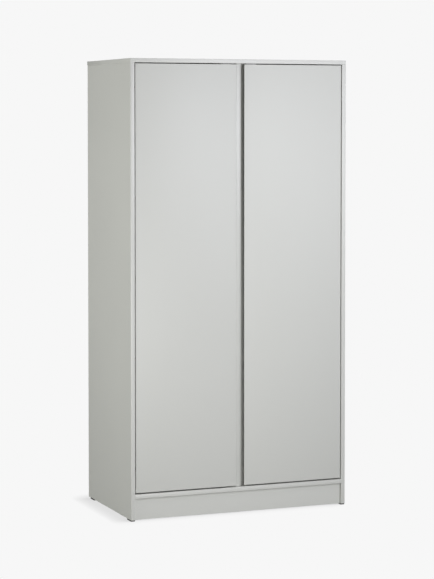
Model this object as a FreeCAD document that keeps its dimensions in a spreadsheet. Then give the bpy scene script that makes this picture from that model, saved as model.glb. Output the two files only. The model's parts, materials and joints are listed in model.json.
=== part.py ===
import FreeCAD, Part
import Sketcher
import os
import math
from FreeCAD import Vector, Placement, Rotation

# Two-door wardrobe. Millimetres. Origin on the floor at the centre of the footprint,
# +X to the right when facing the doors, doors face -Y, +Z up.

doc = FreeCAD.newDocument("wardrobe")
sheet = doc.addObject("Spreadsheet::Sheet", "Sizes")

drivingSizes = [
    ("carcass_width", 1000),
    ("carcass_depth", 580),
    ("overall_height", 1960),
    ("board", 18),
    ("partition_thick", 22),
    ("back_thick", 3),
    ("rear_overhang", 5),
    ("glide_height", 5),
    ("plinth_height", 91),
    ("plinth_recess", 8),
    ("door_thick", 18),
    ("door_inset", 2),
    ("side_gap", 4),
    ("top_gap", 4),
    ("bottom_gap", 6),
    ("centre_gap", 38),
    ("grip_lip", 4),
    ("partition_setback", 22),
    ("shelf_setback", 64),
    ("lath_setback", 46),
    ("lath_width", 25),
    ("lath_thick", 16),
    ("lath_screw_radius", 2),
    ("lath_screw_depth", 10),
    ("hat_shelf_level", 1620),
    ("shelf_side_play", 1),
    ("dowel_radius", 4),
    ("dowel_short", 10),
    ("dowel_long", 20),
    ("bolt_thread_radius", 2.5),
    ("bolt_thread_depth", 10),
    ("bolt_shank_radius", 3.5),
    ("bolt_shank_depth", 28),
    ("cam_radius", 7.5),
    ("cam_depth", 13.2),
    ("cam_distance", 34),
    ("pin_hole_radius", 2.5),
    ("pin_hole_depth", 10),
    ("pin_hole_pitch", 32),
    ("nail_radius", 0.8),
    ("nail_depth", 14),
    ("plate_screw_radius", 2.5),
    ("plate_screw_depth", 12),
    ("cup_radius", 17.5),
    ("cup_pocket_depth", 15),
    ("cup_centre_from_edge", 21.5),
    ("notch_half_height", 6.5),
    ("pivot_from_side", 12.6),
    ("pivot_from_front", 8.5),
    ("rail_height", 30),
    ("rail_depth", 15),
    ("rail_wall", 1.2),
    ("rail_level", 1560),
    ("joining_strip_width", 24),
]

# Sizes that follow from the driving ones; the sheet works them out itself.
derivedSizes = [
    ("side_depth", "=carcass_depth - rear_overhang"),
    ("side_height", "=overall_height - board - glide_height"),
    ("inner_width", "=carcass_width - 2 * board"),
    ("bottom_level", "=glide_height + plinth_height"),
    ("floor_level", "=bottom_level + board"),
    ("ceiling_level", "=overall_height - board"),
    ("partition_height", "=ceiling_level - floor_level"),
    ("partition_depth", "=side_depth - partition_setback"),
    ("door_width", "=inner_width / 2 - side_gap - centre_gap / 2"),
    ("door_height", "=ceiling_level - top_gap - floor_level - bottom_gap"),
    ("door_level", "=floor_level + bottom_gap"),
    ("bay_width", "=(inner_width - partition_thick) / 2"),
    ("shelf_width", "=bay_width - 2 * shelf_side_play"),
    ("hat_shelf_depth", "=side_depth - shelf_setback - 1"),
    ("loose_shelf_depth", "=hat_shelf_depth - 12"),
    ("back_width", "=carcass_width / 2 - 3.5"),
    ("back_height", "=ceiling_level - bottom_level - 2"),
    ("plinth_between", "=side_depth - plinth_recess - 2 * board"),
]

# Heights of the loose shelves and of the door hinges above the floor.
looseShelfLevels = {"lower": 480, "middle": 860, "upper": 1240}
hingeLevels = [217, 690, 1370, 1839]


def fillSheet():
    rowNumber = 1
    for alias, value in drivingSizes + derivedSizes:
        cell = "A%d" % rowNumber
        sheet.set(cell, str(value))
        sheet.setAlias(cell, alias)
        rowNumber += 1
    doc.recompute()


fillSheet()


def mm(alias):
    return float(sheet.get(alias))


frontY = -mm("carcass_depth") / 2
sideRearY = frontY + mm("side_depth")
innerX = mm("inner_width") / 2
partitionX = mm("partition_thick") / 2
ceilingZ = mm("ceiling_level")
floorZ = mm("floor_level")
bottomZ = mm("bottom_level")


# ---------------------------------------------------------------- boards

planeRoles = ["YZ_Plane", "XZ_Plane", "XY_Plane"]
normalSigns = [1, -1, 1]


def originPlane(body, role):
    for item in body.Origin.OriginFeatures:
        if item.Role == role:
            return item


def attachedSketch(body, name, axis, along=0.0):
    """Empty sketch square to an axis, at the given distance along it."""
    sketch = body.newObject("Sketcher::SketchObject", name)
    sketch.AttachmentSupport = [(originPlane(body, planeRoles[axis]), "")]
    sketch.MapMode = "FlatFace"
    sketch.AttachmentOffset = Placement(Vector(0, 0, along * normalSigns[axis]), Rotation())
    return sketch


def bind(item, prop, expression):
    item.setExpression(prop, expression)


def addPolygon(sketch, points):
    first = sketch.GeometryCount
    count = len(points)
    for index in range(count):
        start = Vector(points[index][0], points[index][1], 0)
        end = Vector(points[(index + 1) % count][0], points[(index + 1) % count][1], 0)
        sketch.addGeometry(Part.LineSegment(start, end), False)
    for index in range(count):
        following = first + (index + 1) % count
        sketch.addConstraint(Sketcher.Constraint("Coincident", first + index, 2, following, 1))
    return first


def addRectangle(sketch, wide, tall):
    """Rectangle from the sketch origin, its two sizes bound to expressions."""
    addPolygon(sketch, [(0, 0), (100, 0), (100, 100), (0, 100)])
    for line, kind in enumerate(["Horizontal", "Vertical", "Horizontal", "Vertical"]):
        sketch.addConstraint(Sketcher.Constraint(kind, line))
    sketch.addConstraint(Sketcher.Constraint("Coincident", 0, 1, -1, 1))
    across = sketch.addConstraint(Sketcher.Constraint("DistanceX", 0, 1, 0, 2, 100))
    sketch.renameConstraint(across, "Wide")
    up = sketch.addConstraint(Sketcher.Constraint("DistanceY", 1, 1, 1, 2, 100))
    sketch.renameConstraint(up, "Tall")
    bind(sketch, "Constraints.Wide", wide)
    bind(sketch, "Constraints.Tall", tall)


def placeBody(body, corner):
    for letter, expression in zip("xyz", corner):
        bind(body, "Placement.Base." + letter, expression)


def makeBoard(name, axis, size, corner):
    """Flat board, thin along the axis; size and least corner are expressions."""
    body = doc.addObject("PartDesign::Body", name)
    body.Label = name
    sketch = attachedSketch(body, name + "_outline", axis)
    flat = [size[index] for index in range(3) if index != axis]
    addRectangle(sketch, flat[0], flat[1])
    pad = body.newObject("PartDesign::Pad", name + "_pad")
    pad.Profile = sketch
    pad.Reversed = normalSigns[axis] < 0
    bind(pad, "Length", size[axis])
    placeBody(body, corner)
    return body


def flatPair(point, axis):
    return [point[index] for index in range(3) if index != axis]


def drill(body, axis, cutSign, face, radius, depth, centres):
    """Round blind holes in a body, centres and face given in the shared frame."""
    base = body.Placement.Base
    name = "%s_holes%d" % (body.Name, len(body.Group))
    sketch = attachedSketch(body, name + "_sketch", axis, face - base[axis])
    shift = flatPair(base, axis)
    for index, centre in enumerate(centres):
        flat = flatPair(centre, axis)
        across = flat[0] - shift[0]
        up = flat[1] - shift[1]
        sketch.addGeometry(Part.Circle(Vector(across, up, 0), Vector(0, 0, 1), mm(radius)), False)
        sketch.addConstraint(Sketcher.Constraint("DistanceX", -1, 1, index, 3, across))
        sketch.addConstraint(Sketcher.Constraint("DistanceY", -1, 1, index, 3, up))
        if index:
            sketch.addConstraint(Sketcher.Constraint("Equal", 0, index))
    size = sketch.addConstraint(Sketcher.Constraint("Radius", 0, mm(radius)))
    sketch.renameConstraint(size, "Hole")
    bind(sketch, "Constraints.Hole", "Sizes." + radius)
    pocket = body.newObject("PartDesign::Pocket", name)
    pocket.Profile = sketch
    pocket.Reversed = cutSign == normalSigns[axis]
    bind(pocket, "Length", "Sizes." + depth)
    return pocket


halfWidth = "-Sizes.carcass_width / 2"
halfInner = "Sizes.inner_width / 2"
front = "-Sizes.carcass_depth / 2"
thick = "Sizes.board"


def makeCarcassBoards():
    boards = {}

    def add(name, axis, size, corner):
        boards[name] = makeBoard(name, axis, size, corner)

    add("top_panel", 2, ("Sizes.carcass_width", "Sizes.carcass_depth", thick),
        (halfWidth, front, "Sizes.ceiling_level"))
    sideSize = (thick, "Sizes.side_depth", "Sizes.side_height")
    add("left_side_panel", 0, sideSize, (halfWidth, front, "Sizes.glide_height"))
    add("right_side_panel", 0, sideSize, (halfInner, front, "Sizes.glide_height"))
    add("bottom_panel", 2, ("Sizes.inner_width", "Sizes.side_depth", thick),
        ("-" + halfInner, front, "Sizes.bottom_level"))
    add("centre_partition", 0,
        ("Sizes.partition_thick", "Sizes.partition_depth", "Sizes.partition_height"),
        ("-Sizes.partition_thick / 2", front + " + Sizes.partition_setback", "Sizes.floor_level"))
    lathSize = ("Sizes.lath_width", "Sizes.lath_thick", "Sizes.partition_height")
    lathY = front + " + Sizes.lath_setback"
    add("closing_lath_left", 1, lathSize,
        ("-Sizes.partition_thick / 2 - Sizes.lath_width", lathY, "Sizes.floor_level"))
    add("closing_lath_right", 1, lathSize, ("Sizes.partition_thick / 2", lathY, "Sizes.floor_level"))
    plinthSize = ("Sizes.inner_width", thick, "Sizes.plinth_height")
    add("plinth_front", 1, plinthSize,
        ("-" + halfInner, front + " + Sizes.plinth_recess", "Sizes.glide_height"))
    add("plinth_rear", 1, plinthSize,
        ("-" + halfInner, front + " + Sizes.side_depth - Sizes.board", "Sizes.glide_height"))
    add("plinth_centre_support", 0, (thick, "Sizes.plinth_between", "Sizes.plinth_height"),
        ("-Sizes.board / 2", front + " + Sizes.plinth_recess + Sizes.board", "Sizes.glide_height"))
    backSize = ("Sizes.back_width", "Sizes.back_thick", "Sizes.back_height")
    backY = front + " + Sizes.side_depth"
    backZ = "Sizes.bottom_level + 1"
    add("back_board_left", 1, backSize, (halfWidth + " + 2", backY, backZ))
    add("back_board_right", 1, backSize, ("1.5", backY, backZ))
    hatSize = ("Sizes.bay_width", "Sizes.hat_shelf_depth", thick)
    hatY = front + " + Sizes.shelf_setback"
    add("hat_shelf_left", 2, hatSize, ("-" + halfInner, hatY, "Sizes.hat_shelf_level"))
    add("hat_shelf_right", 2, hatSize, ("Sizes.partition_thick / 2", hatY, "Sizes.hat_shelf_level"))
    looseSize = ("Sizes.shelf_width", "Sizes.loose_shelf_depth", thick)
    looseX = "Sizes.partition_thick / 2 + Sizes.shelf_side_play"
    for word, level in looseShelfLevels.items():
        add("loose_shelf_" + word, 2, looseSize, (looseX, hatY + " + 6", "%d" % level))
    doc.recompute()
    return boards


# ------------------------------------------------ joints between the boards

def boltSpots():
    """Connecting bolts: the point on the joint face and the way the long shank runs."""
    spots = []
    midBottom = bottomZ + mm("board") / 2
    midHat = mm("hat_shelf_level") + mm("board") / 2
    sideMid = innerX + mm("board") / 2
    for y in (-230, 0, 230):
        for side in (-1, 1):
            spots.append(((side * sideMid, y, ceilingZ), 2, -1))
            spots.append(((side * innerX, y, midBottom), 0, -side))
    for y in (-200, 220):
        spots.append(((-innerX, y, midHat), 0, 1))
        spots.append(((-partitionX, y, midHat), 0, -1))
    for y in (-168, 188):
        spots.append(((partitionX, y, midHat), 0, 1))
        spots.append(((innerX, y, midHat), 0, -1))
    return spots


def dowelSpots():
    """Wooden dowels: the point on the joint face and the way the long end runs."""
    spots = []
    sideMid = innerX + mm("board") / 2
    midBottom = bottomZ + mm("board") / 2
    plinthFrontY = frontY + mm("plinth_recess")
    plinthRearY = sideRearY - mm("board")
    for side in (-1, 1):
        for y in (-262, -120, 120, 262):
            spots.append(((side * sideMid, y, ceilingZ), 2, -1))
        for y in (-150, 150):
            spots.append(((side * innerX, y, midBottom), 0, -side))
        for y in (plinthFrontY, plinthRearY):
            for z in (30, 70):
                spots.append(((side * innerX, y + mm("board") / 2, z), 0, -side))
    for y in (-200, 0, 200):
        spots.append(((0, y, ceilingZ), 2, -1))
        spots.append(((0, y, floorZ), 2, 1))
    for z in (30, 70):
        spots.append(((0, plinthFrontY + mm("board"), z), 1, 1))
        spots.append(((0, plinthRearY, z), 1, -1))
    return spots


def camSpots():
    """Cam discs: the point on the board face and the way the disc goes in."""
    spots = []
    reach = mm("cam_distance")
    for point, axis, way in boltSpots():
        if axis == 2:
            side = math.copysign(1, point[0])
            spots.append(((side * innerX, point[1], point[2] - reach), 0, side))
        else:
            under = point[2] - mm("board") / 2
            spots.append(((point[0] + way * reach, point[1], under), 2, 1))
    return spots


def pinSpots():
    """Shelf pins under the loose shelves: the point on the wall and the way in."""
    spots = []
    for level in looseShelfLevels.values():
        for y in (-210, 220):
            z = level - mm("pin_hole_radius")
            spots.append(((partitionX, y, z), 0, -1))
            spots.append(((innerX, y, z), 0, 1))
    return spots


def pinHoleSpots():
    spots = []
    for point, axis, way in pinSpots():
        for step in range(-3, 4):
            z = point[2] + step * mm("pin_hole_pitch")
            spots.append(((point[0], point[1], z), axis, way))
    return spots


def plateScrewSpots():
    spots = []
    for z in hingeLevels:
        for side in (-1, 1):
            for up in (-16, 16):
                spots.append(((side * innerX, frontY + 62, z + up), 0, side))
    return spots


def lathScrewSpots():
    """Screws of the closing laths: the point on the partition and the way out."""
    spots = []
    y = frontY + mm("lath_setback") + mm("lath_thick") / 2
    for side in (-1, 1):
        for z in range(170, 1900, 420):
            spots.append(((side * partitionX, y, z + 15 * side), 0, side))
    return spots


def nailSpots():
    spots = []
    sideMid = innerX + mm("board") / 2
    for z in range(150, 1940, 195):
        for side in (-1, 1):
            spots.append(((side * sideMid, sideRearY, z), 1, -1))
    for x in (-400, -240, -80, 80, 240, 400):
        spots.append(((x, sideRearY, bottomZ + mm("board") / 2), 1, -1))
    return spots


def insideBoard(body, point, axis, way):
    probe = Vector(*point)
    probe[axis] += way * 0.5
    box = body.Shape.BoundBox
    return box.isInside(probe)


def drillSpots(boards, spots, radius, depth, flip=False):
    """Sort the spots by board, face and direction, then drill each set at once."""
    for body in boards.values():
        sets = {}
        for point, axis, way in spots:
            cut = -way if flip else way
            if insideBoard(body, point, axis, cut):
                sets.setdefault((axis, cut, point[axis]), []).append(point)
        for (axis, cut, face), centres in sets.items():
            drill(body, axis, cut, face, radius, depth, centres)


def drillBoards(boards):
    drillSpots(boards, boltSpots(), "bolt_shank_radius", "bolt_shank_depth")
    drillSpots(boards, boltSpots(), "bolt_thread_radius", "bolt_thread_depth", flip=True)
    drillSpots(boards, dowelSpots(), "dowel_radius", "dowel_long")
    drillSpots(boards, dowelSpots(), "dowel_radius", "dowel_short", flip=True)
    drillSpots(boards, camSpots(), "cam_radius", "cam_depth")
    drillSpots(boards, pinHoleSpots(), "pin_hole_radius", "pin_hole_depth")
    drillSpots(boards, plateScrewSpots(), "plate_screw_radius", "plate_screw_depth")
    drillSpots(boards, lathScrewSpots(), "lath_screw_radius", "lath_width")
    drillSpots(boards, lathScrewSpots(), "lath_screw_radius", "lath_screw_depth", flip=True)
    drillSpots(boards, nailSpots(), "nail_radius", "nail_depth")
    backs = {name: boards[name] for name in ("back_board_left", "back_board_right")}
    drillSpots(backs, nailSpots(), "nail_radius", "back_thick", flip=True)
    doc.recompute()


# ---------------------------------------------------------------- doors

def makeDoor(name, side):
    """Door with a fine front lip and a slanted grip edge towards the centre."""
    body = doc.addObject("PartDesign::Body", name)
    body.Label = name
    width = mm("door_width")
    thickness = mm("door_thick")
    lip = mm("grip_lip")
    outline = [(0, 0), (width, 0), (width, lip), (width - thickness + lip, thickness), (0, thickness)]
    if side > 0:
        outline = [(width - x, y) for x, y in outline]
    sketch = attachedSketch(body, name + "_plan", 2)
    addPolygon(sketch, outline)
    for line in (0, 3):
        sketch.addConstraint(Sketcher.Constraint("Horizontal", line))
    for line in (1, 4):
        sketch.addConstraint(Sketcher.Constraint("Vertical", line))
    corner = 1 if side > 0 else 0
    sketch.addConstraint(Sketcher.Constraint("Coincident", corner, 1, -1, 1))
    named = [
        ("Wide", "DistanceX", (1, 1, 0, 1) if side > 0 else (0, 1, 1, 1), width, "Sizes.door_width"),
        ("Thick", "DistanceY", (0, 1, 4, 1), thickness, "Sizes.door_thick"),
        ("Lip", "DistanceY", (1, 1, 1, 2), lip, "Sizes.grip_lip"),
        ("Slant", "DistanceX", (2, 1, 2, 2) if side > 0 else (2, 2, 2, 1), thickness - lip,
         "Sizes.door_thick - Sizes.grip_lip"),
    ]
    for label, kind, picks, value, expression in named:
        index = sketch.addConstraint(Sketcher.Constraint(kind, *picks, value))
        sketch.renameConstraint(index, label)
        bind(sketch, "Constraints." + label, expression)
    pad = body.newObject("PartDesign::Pad", name + "_pad")
    pad.Profile = sketch
    bind(pad, "Length", "Sizes.door_height")
    leftX = "-Sizes.inner_width / 2 + Sizes.side_gap" if side < 0 else "Sizes.centre_gap / 2"
    placeBody(body, (leftX, front + " + Sizes.door_inset", "Sizes.door_level"))
    doc.recompute()
    return body


def doorEdgeX(side):
    return side * (innerX - mm("side_gap"))


def doorBackY():
    return frontY + mm("door_inset") + mm("door_thick")


def boreDoor(body, side):
    """Cup pockets in the back of the door and a short notch to the hinge edge."""
    cupX = doorEdgeX(side) - side * mm("cup_centre_from_edge")
    centres = [(cupX, doorBackY(), z) for z in hingeLevels]
    drill(body, 1, -1, doorBackY(), "cup_radius", "cup_pocket_depth", centres)
    cutNotches(body, side)
    screwX = cupX - side * 5
    screws = [(screwX, doorBackY(), z + up) for z in hingeLevels for up in (-24, 24)]
    drill(body, 1, -1, doorBackY(), "bolt_thread_radius", "bolt_thread_depth", screws)
    doc.recompute()


def cutNotches(body, side):
    base = body.Placement.Base
    name = body.Name + "_notches"
    sketch = attachedSketch(body, name + "_sketch", 1, doorBackY() - base.y)
    half = mm("notch_half_height")
    nearX = doorEdgeX(side) + side * 2 - base.x
    farX = doorEdgeX(side) - side * 16 - base.x
    for z in hingeLevels:
        low = z - half - base.z
        high = z + half - base.z
        addPolygon(sketch, [(nearX, low), (farX, low), (farX, high), (nearX, high)])
    count = sketch.GeometryCount
    for line in range(count):
        kind = "Horizontal" if line % 2 == 0 else "Vertical"
        sketch.addConstraint(Sketcher.Constraint(kind, line))
    pocket = body.newObject("PartDesign::Pocket", name)
    pocket.Profile = sketch
    pocket.Reversed = normalSigns[1] == -1
    bind(pocket, "Length", "Sizes.cup_pocket_depth")


# ---------------------------------------------------------------- hardware

def wayVector(axis, way):
    vector = [0, 0, 0]
    vector[axis] = way
    return Vector(*vector)


def rod(point, direction, radius, length):
    return Part.makeCylinder(radius, length, Vector(*point), direction)


def block(lowX, lowY, lowZ, highX, highY, highZ):
    return Part.makeBox(highX - lowX, highY - lowY, highZ - lowZ, Vector(lowX, lowY, lowZ))


def addGroup(name, solids, anchor=(0, 0, 0)):
    """Several equal solids as one named object, placed from its anchor point."""
    item = doc.addObject("Part::Feature", name)
    item.Label = name
    base = Vector(*anchor)
    moved = [solid.translated(-base) for solid in solids]
    item.Shape = Part.makeCompound(moved)
    item.Placement = Placement(base, Rotation())
    return item


def makeDowels():
    solids = []
    for point, axis, way in dowelSpots():
        direction = wayVector(axis, way)
        start = Vector(*point) - direction * mm("dowel_short")
        length = mm("dowel_short") + mm("dowel_long")
        dowel = rod(start, direction, mm("dowel_radius"), length)
        solids.append(dowel.makeChamfer(0.8, [dowel.Edges[0], dowel.Edges[2]]))
    addGroup("dowels", solids)


def makeBolts():
    solids = []
    for point, axis, way in boltSpots():
        direction = wayVector(axis, way)
        start = Vector(*point)
        shank = rod(start, direction, mm("bolt_shank_radius"), mm("cam_distance") - mm("cam_radius") - 0.5)
        thread = rod(start, direction * -1, mm("bolt_thread_radius"), mm("bolt_thread_depth"))
        solids.append(shank.fuse(thread).removeSplitter())
    addGroup("cam_bolts", solids)


def makeCams():
    """Cam discs with a cross recess, flush with the board face."""
    solids = []
    depth = mm("cam_depth")
    for point, axis, way in camSpots():
        direction = wayVector(axis, way)
        disc = rod(point, direction, mm("cam_radius"), depth)
        for turn in (0, 90):
            bar = Part.makeBox(9, 2, 4, Vector(-4.5, -1, -2))
            bar.rotate(Vector(0, 0, 0), Vector(0, 0, 1), turn)
            bar.Placement = Placement(Vector(*point), Rotation(Vector(0, 0, 1), direction)).multiply(
                bar.Placement)
            disc = disc.cut(bar)
        solids.append(disc)
    addGroup("cam_locks", solids)


def makeShelfPins():
    solids = []
    for point, axis, way in pinSpots():
        direction = wayVector(axis, way)
        start = Vector(*point)
        buried = rod(start, direction, mm("pin_hole_radius"), mm("pin_hole_depth") - 1)
        tongue = rod(start, direction * -1, mm("pin_hole_radius"), 9)
        collar = rod(start, direction * -1, 4, mm("shelf_side_play"))
        solids.append(buried.fuse([tongue, collar]).removeSplitter())
    addGroup("shelf_pins", solids)


def makeLathScrews():
    solids = []
    for point, axis, way in lathScrewSpots():
        outward = wayVector(axis, way)
        face = Vector(*point) + outward * mm("lath_width")
        shank = rod(face, outward * -1, mm("lath_screw_radius"), mm("lath_width") + mm("lath_screw_depth") - 1)
        head = Part.makeCone(3.8, 2.6, 1.6, face, outward)
        solids.append(shank.fuse(head).removeSplitter())
    addGroup("lath_screws", solids)


def makeNails():
    solids = []
    for point, axis, way in nailSpots():
        if abs(point[0]) < 20:
            continue
        outside = Vector(point[0], point[1] + mm("back_thick"), point[2])
        shank = rod(outside, Vector(0, -1, 0), mm("nail_radius"), mm("back_thick") + mm("nail_depth"))
        head = Part.makeCone(2.2, 1.6, 0.7, outside, Vector(0, 1, 0))
        solids.append(shank.fuse(head).removeSplitter())
    addGroup("back_nails", solids)


def makeGlides():
    """Nail-on glides under the side panels and the centre support."""
    solids = []
    height = mm("glide_height")
    halfLength = 25
    rearY = sideRearY - 26 - halfLength
    foreY = frontY + 4 + halfLength
    half = mm("board") / 2
    sideMid = innerX + half
    for x in (-sideMid, 0, sideMid):
        for y in (foreY, rearY):
            if x == 0:
                y = math.copysign(170, y)
            pad = block(x - half, y - halfLength, 0, x + half, y + halfLength, height)
            lower = [edge for edge in pad.Edges if edge.BoundBox.ZMax < 0.01]
            solids.append(pad.makeChamfer(1.2, lower))
    addGroup("floor_glides", solids)


def stadium(halfTall, radius, length, start, direction):
    """Bar of upright oval section: a box with a rod along its top and bottom."""
    reach = halfTall - radius
    first = rod(start + Vector(0, 0, reach), direction, radius, length)
    second = rod(start - Vector(0, 0, reach), direction, radius, length)
    middle = block(min(start.x, start.x + direction.x * length), start.y - radius, start.z - reach,
                   max(start.x, start.x + direction.x * length), start.y + radius, start.z + reach)
    return middle.fuse([first, second]).removeSplitter()


def addOvalSketch(sketch, halfTall, radius):
    """Upright oval in the sketch: two straight sides and two round ends."""
    first = sketch.GeometryCount
    reach = halfTall - radius
    sketch.addGeometry(Part.LineSegment(Vector(radius, -reach, 0), Vector(radius, reach, 0)), False)
    top = Part.Circle(Vector(0, reach, 0), Vector(0, 0, 1), radius)
    sketch.addGeometry(Part.ArcOfCircle(top, 0, math.pi), False)
    sketch.addGeometry(Part.LineSegment(Vector(-radius, reach, 0), Vector(-radius, -reach, 0)), False)
    low = Part.Circle(Vector(0, -reach, 0), Vector(0, 0, 1), radius)
    sketch.addGeometry(Part.ArcOfCircle(low, math.pi, 2 * math.pi), False)
    joins = [(0, 2, 1, 1), (1, 2, 2, 1), (2, 2, 3, 1), (3, 2, 0, 1)]
    for one, oneEnd, other, otherEnd in joins:
        sketch.addConstraint(
            Sketcher.Constraint("Tangent", first + one, oneEnd, first + other, otherEnd))


def makeRail():
    """Oval steel clothes rail across the left bay."""
    body = doc.addObject("PartDesign::Body", "hanging_rail")
    body.Label = "hanging_rail"
    sketch = attachedSketch(body, "rail_section", 0)
    addOvalSketch(sketch, mm("rail_height") / 2, mm("rail_depth") / 2)
    wall = mm("rail_wall")
    addOvalSketch(sketch, mm("rail_height") / 2 - wall, mm("rail_depth") / 2 - wall)
    pad = body.newObject("PartDesign::Pad", "rail_pad")
    pad.Profile = sketch
    bind(pad, "Length", "Sizes.bay_width - 6")
    placeBody(body, ("-Sizes.inner_width / 2 + 3", "0", "Sizes.rail_level"))


def makeRailSocket(name, wallX, way):
    """Cupped end holder of the rail, open at the top so the rail drops in."""
    centre = Vector(wallX, 0, mm("rail_level"))
    direction = Vector(way, 0, 0)
    halfTall = mm("rail_height") / 2
    radius = mm("rail_depth") / 2
    flange = stadium(halfTall + 12, radius + 6, 2.5, centre, direction)
    sleeve = stadium(halfTall + 2.2, radius + 2.2, 13, centre, direction)
    inner = stadium(halfTall + 0.2, radius + 0.2, 20, centre + direction * 2.9, direction)
    low = centre + direction * 2.9
    mouth = block(min(low.x, low.x + way * 20), -radius - 0.2, centre.z,
                  max(low.x, low.x + way * 20), radius + 0.2, centre.z + 60)
    socket = flange.fuse(sleeve).cut(inner).cut(mouth)
    for up in (-1, 1):
        hole = centre + Vector(0, 0, up * (halfTall + 6.5)) - direction
        socket = socket.cut(rod(hole, direction, 2.2, 10))
    addGroup(name, [socket.removeSplitter()], (wallX, 0, mm("rail_level")))


def makeRailScrews(sockets):
    solids = []
    for wallX, way in sockets:
        for up in (-1, 1):
            z = mm("rail_level") + up * (mm("rail_height") / 2 + 6.5)
            start = Vector(wallX, 0, z)
            shank = rod(start, Vector(way, 0, 0), 2.2, 2.5)
            head = Part.makeSphere(3.8)
            keep = block(-4, -4, -4, 0, 4, 4) if way < 0 else block(0, -4, -4, 4, 4, 4)
            head = head.common(keep)
            squeeze = FreeCAD.Matrix()
            squeeze.scale(Vector(0.5, 1, 1))
            head = head.transformGeometry(squeeze)
            head.translate(start + Vector(way * 2.5, 0, 0))
            solids.append(shank.fuse(head))
    addGroup("rail_screws", solids)


def makeJoiningStrip():
    """Plastic strip of T section that holds the two back boards together."""
    body = doc.addObject("PartDesign::Body", "back_joining_strip")
    body.Label = "back_joining_strip"
    half = mm("joining_strip_width") / 2
    web = 1.4
    deep = mm("back_thick")
    outline = [(-web, 0), (web, 0), (web, deep), (half, deep), (half, deep + 1.2),
               (-half, deep + 1.2), (-half, deep), (-web, deep)]
    sketch = attachedSketch(body, "strip_section", 2)
    addPolygon(sketch, outline)
    pad = body.newObject("PartDesign::Pad", "strip_pad")
    pad.Profile = sketch
    bind(pad, "Length", "Sizes.back_height")
    placeBody(body, ("0", front + " + Sizes.side_depth", "Sizes.bottom_level + 1"))


def makeWallBracket():
    """Angle bracket inside the right bay: the wall screw goes through its upright leg."""
    body = doc.addObject("PartDesign::Body", "wall_bracket")
    body.Label = "wall_bracket"
    sketch = attachedSketch(body, "bracket_section", 0)
    addPolygon(sketch, [(0, 0), (-2.5, 0), (-2.5, 57.5), (-40, 57.5), (-40, 60), (0, 60)])
    pad = body.newObject("PartDesign::Pad", "bracket_pad")
    pad.Profile = sketch
    pad.Length = 40
    placeBody(body, ("240 - 20", front + " + Sizes.side_depth", "Sizes.ceiling_level - 60"))
    doc.recompute()
    wall = [(240, sideRearY - 2.5, ceilingZ - 30)]
    drill(body, 1, 1, sideRearY - 2.5, "bolt_shank_radius", "bolt_thread_depth", wall)
    screws = [(230, sideRearY - 24, ceilingZ - 2.5), (250, sideRearY - 24, ceilingZ - 2.5)]
    drill(body, 2, 1, ceilingZ - 2.5, "bolt_thread_radius", "bolt_thread_depth", screws)
    doc.recompute()


def makeBracketScrews():
    solids = []
    for x in (230, 250):
        start = Vector(x, sideRearY - 24, ceilingZ - 2.5)
        shank = rod(start, Vector(0, 0, 1), 2.5, 2.5)
        head = Part.makeCone(4.5, 3.2, 2.2, start, Vector(0, 0, -1))
        solids.append(shank.fuse(head).removeSplitter())
    addGroup("bracket_screws", solids)


def makeMagnets(side):
    """Magnet housing under the top panel and its strike plate on the door."""
    word = "left" if side < 0 else "right"
    x = side * 60
    backY = doorBackY()
    housing = block(x - 22, backY + 1.6, ceilingZ - 14, x + 22, backY + 17, ceilingZ)
    edges = [edge for edge in housing.Edges if edge.BoundBox.ZMax < ceilingZ - 13.9]
    housing = housing.makeFillet(1.5, edges)
    addGroup(word + "_magnet_catch", [housing], (x, backY, ceilingZ))
    plate = block(x - 18, backY, ceilingZ - 14, x + 18, backY + 1.2, ceilingZ - 5.5)
    addGroup(word + "_strike_plate", [plate], (x, backY, ceilingZ))


def makeBumpers(side):
    """Small soft pads on the back of the door near the bottom."""
    word = "left" if side < 0 else "right"
    solids = []
    for x in (90, 430):
        pad = rod((side * x, doorBackY(), mm("door_level") + 14), Vector(0, 1, 0), 5, 1.6)
        solids.append(pad.makeFillet(0.7, [pad.Edges[0]]))
    addGroup(word + "_door_bumpers", solids)


# --------------------------------------------------------------- hinges
# Every hinge is drawn once for the left door from its pivot, then moved and mirrored.

pivotX = -innerX + mm("pivot_from_side")
pivotY = frontY + mm("pivot_from_front")


def thickLine(points, thickness, low, high):
    """Bent strip: each stretch a slab, each bend filled by a rod."""
    strip = None
    for index in range(len(points) - 1):
        start = Vector(points[index][0], points[index][1], low)
        end = Vector(points[index + 1][0], points[index + 1][1], low)
        run = end - start
        slab = Part.makeBox(run.Length, thickness, high - low, Vector(0, -thickness / 2, 0))
        angle = math.degrees(math.atan2(run.y, run.x))
        slab.rotate(Vector(0, 0, 0), Vector(0, 0, 1), angle)
        slab.translate(start)
        pieces = [slab]
        if index:
            pieces.append(Part.makeCylinder(thickness / 2, high - low, start))
        strip = slab.fuse(pieces[1:]) if strip is None else strip.fuse(pieces)
    return strip.removeSplitter()


def hingeArm():
    """Cranked arm: round eye at the pivot, a bend over the door edge, a flat tail."""
    half = 5.5
    path = [(0, 0), (10.9, 13), (10.9, 24), (0.4, 37), (0.4, 86)]
    arm = thickLine(path, 2.4, -half, half)
    arm = arm.fuse(Part.makeCylinder(2.7, 2 * half, Vector(0, 0, -half)))
    arm = arm.cut(Part.makeCylinder(1.33, 2 * half + 2, Vector(0, 0, -half - 1)))
    for along in (50, 74):
        arm = arm.cut(Part.makeCylinder(2.1, 8, Vector(-4, along, 0), Vector(1, 0, 0)))
    return arm.removeSplitter()


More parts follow.
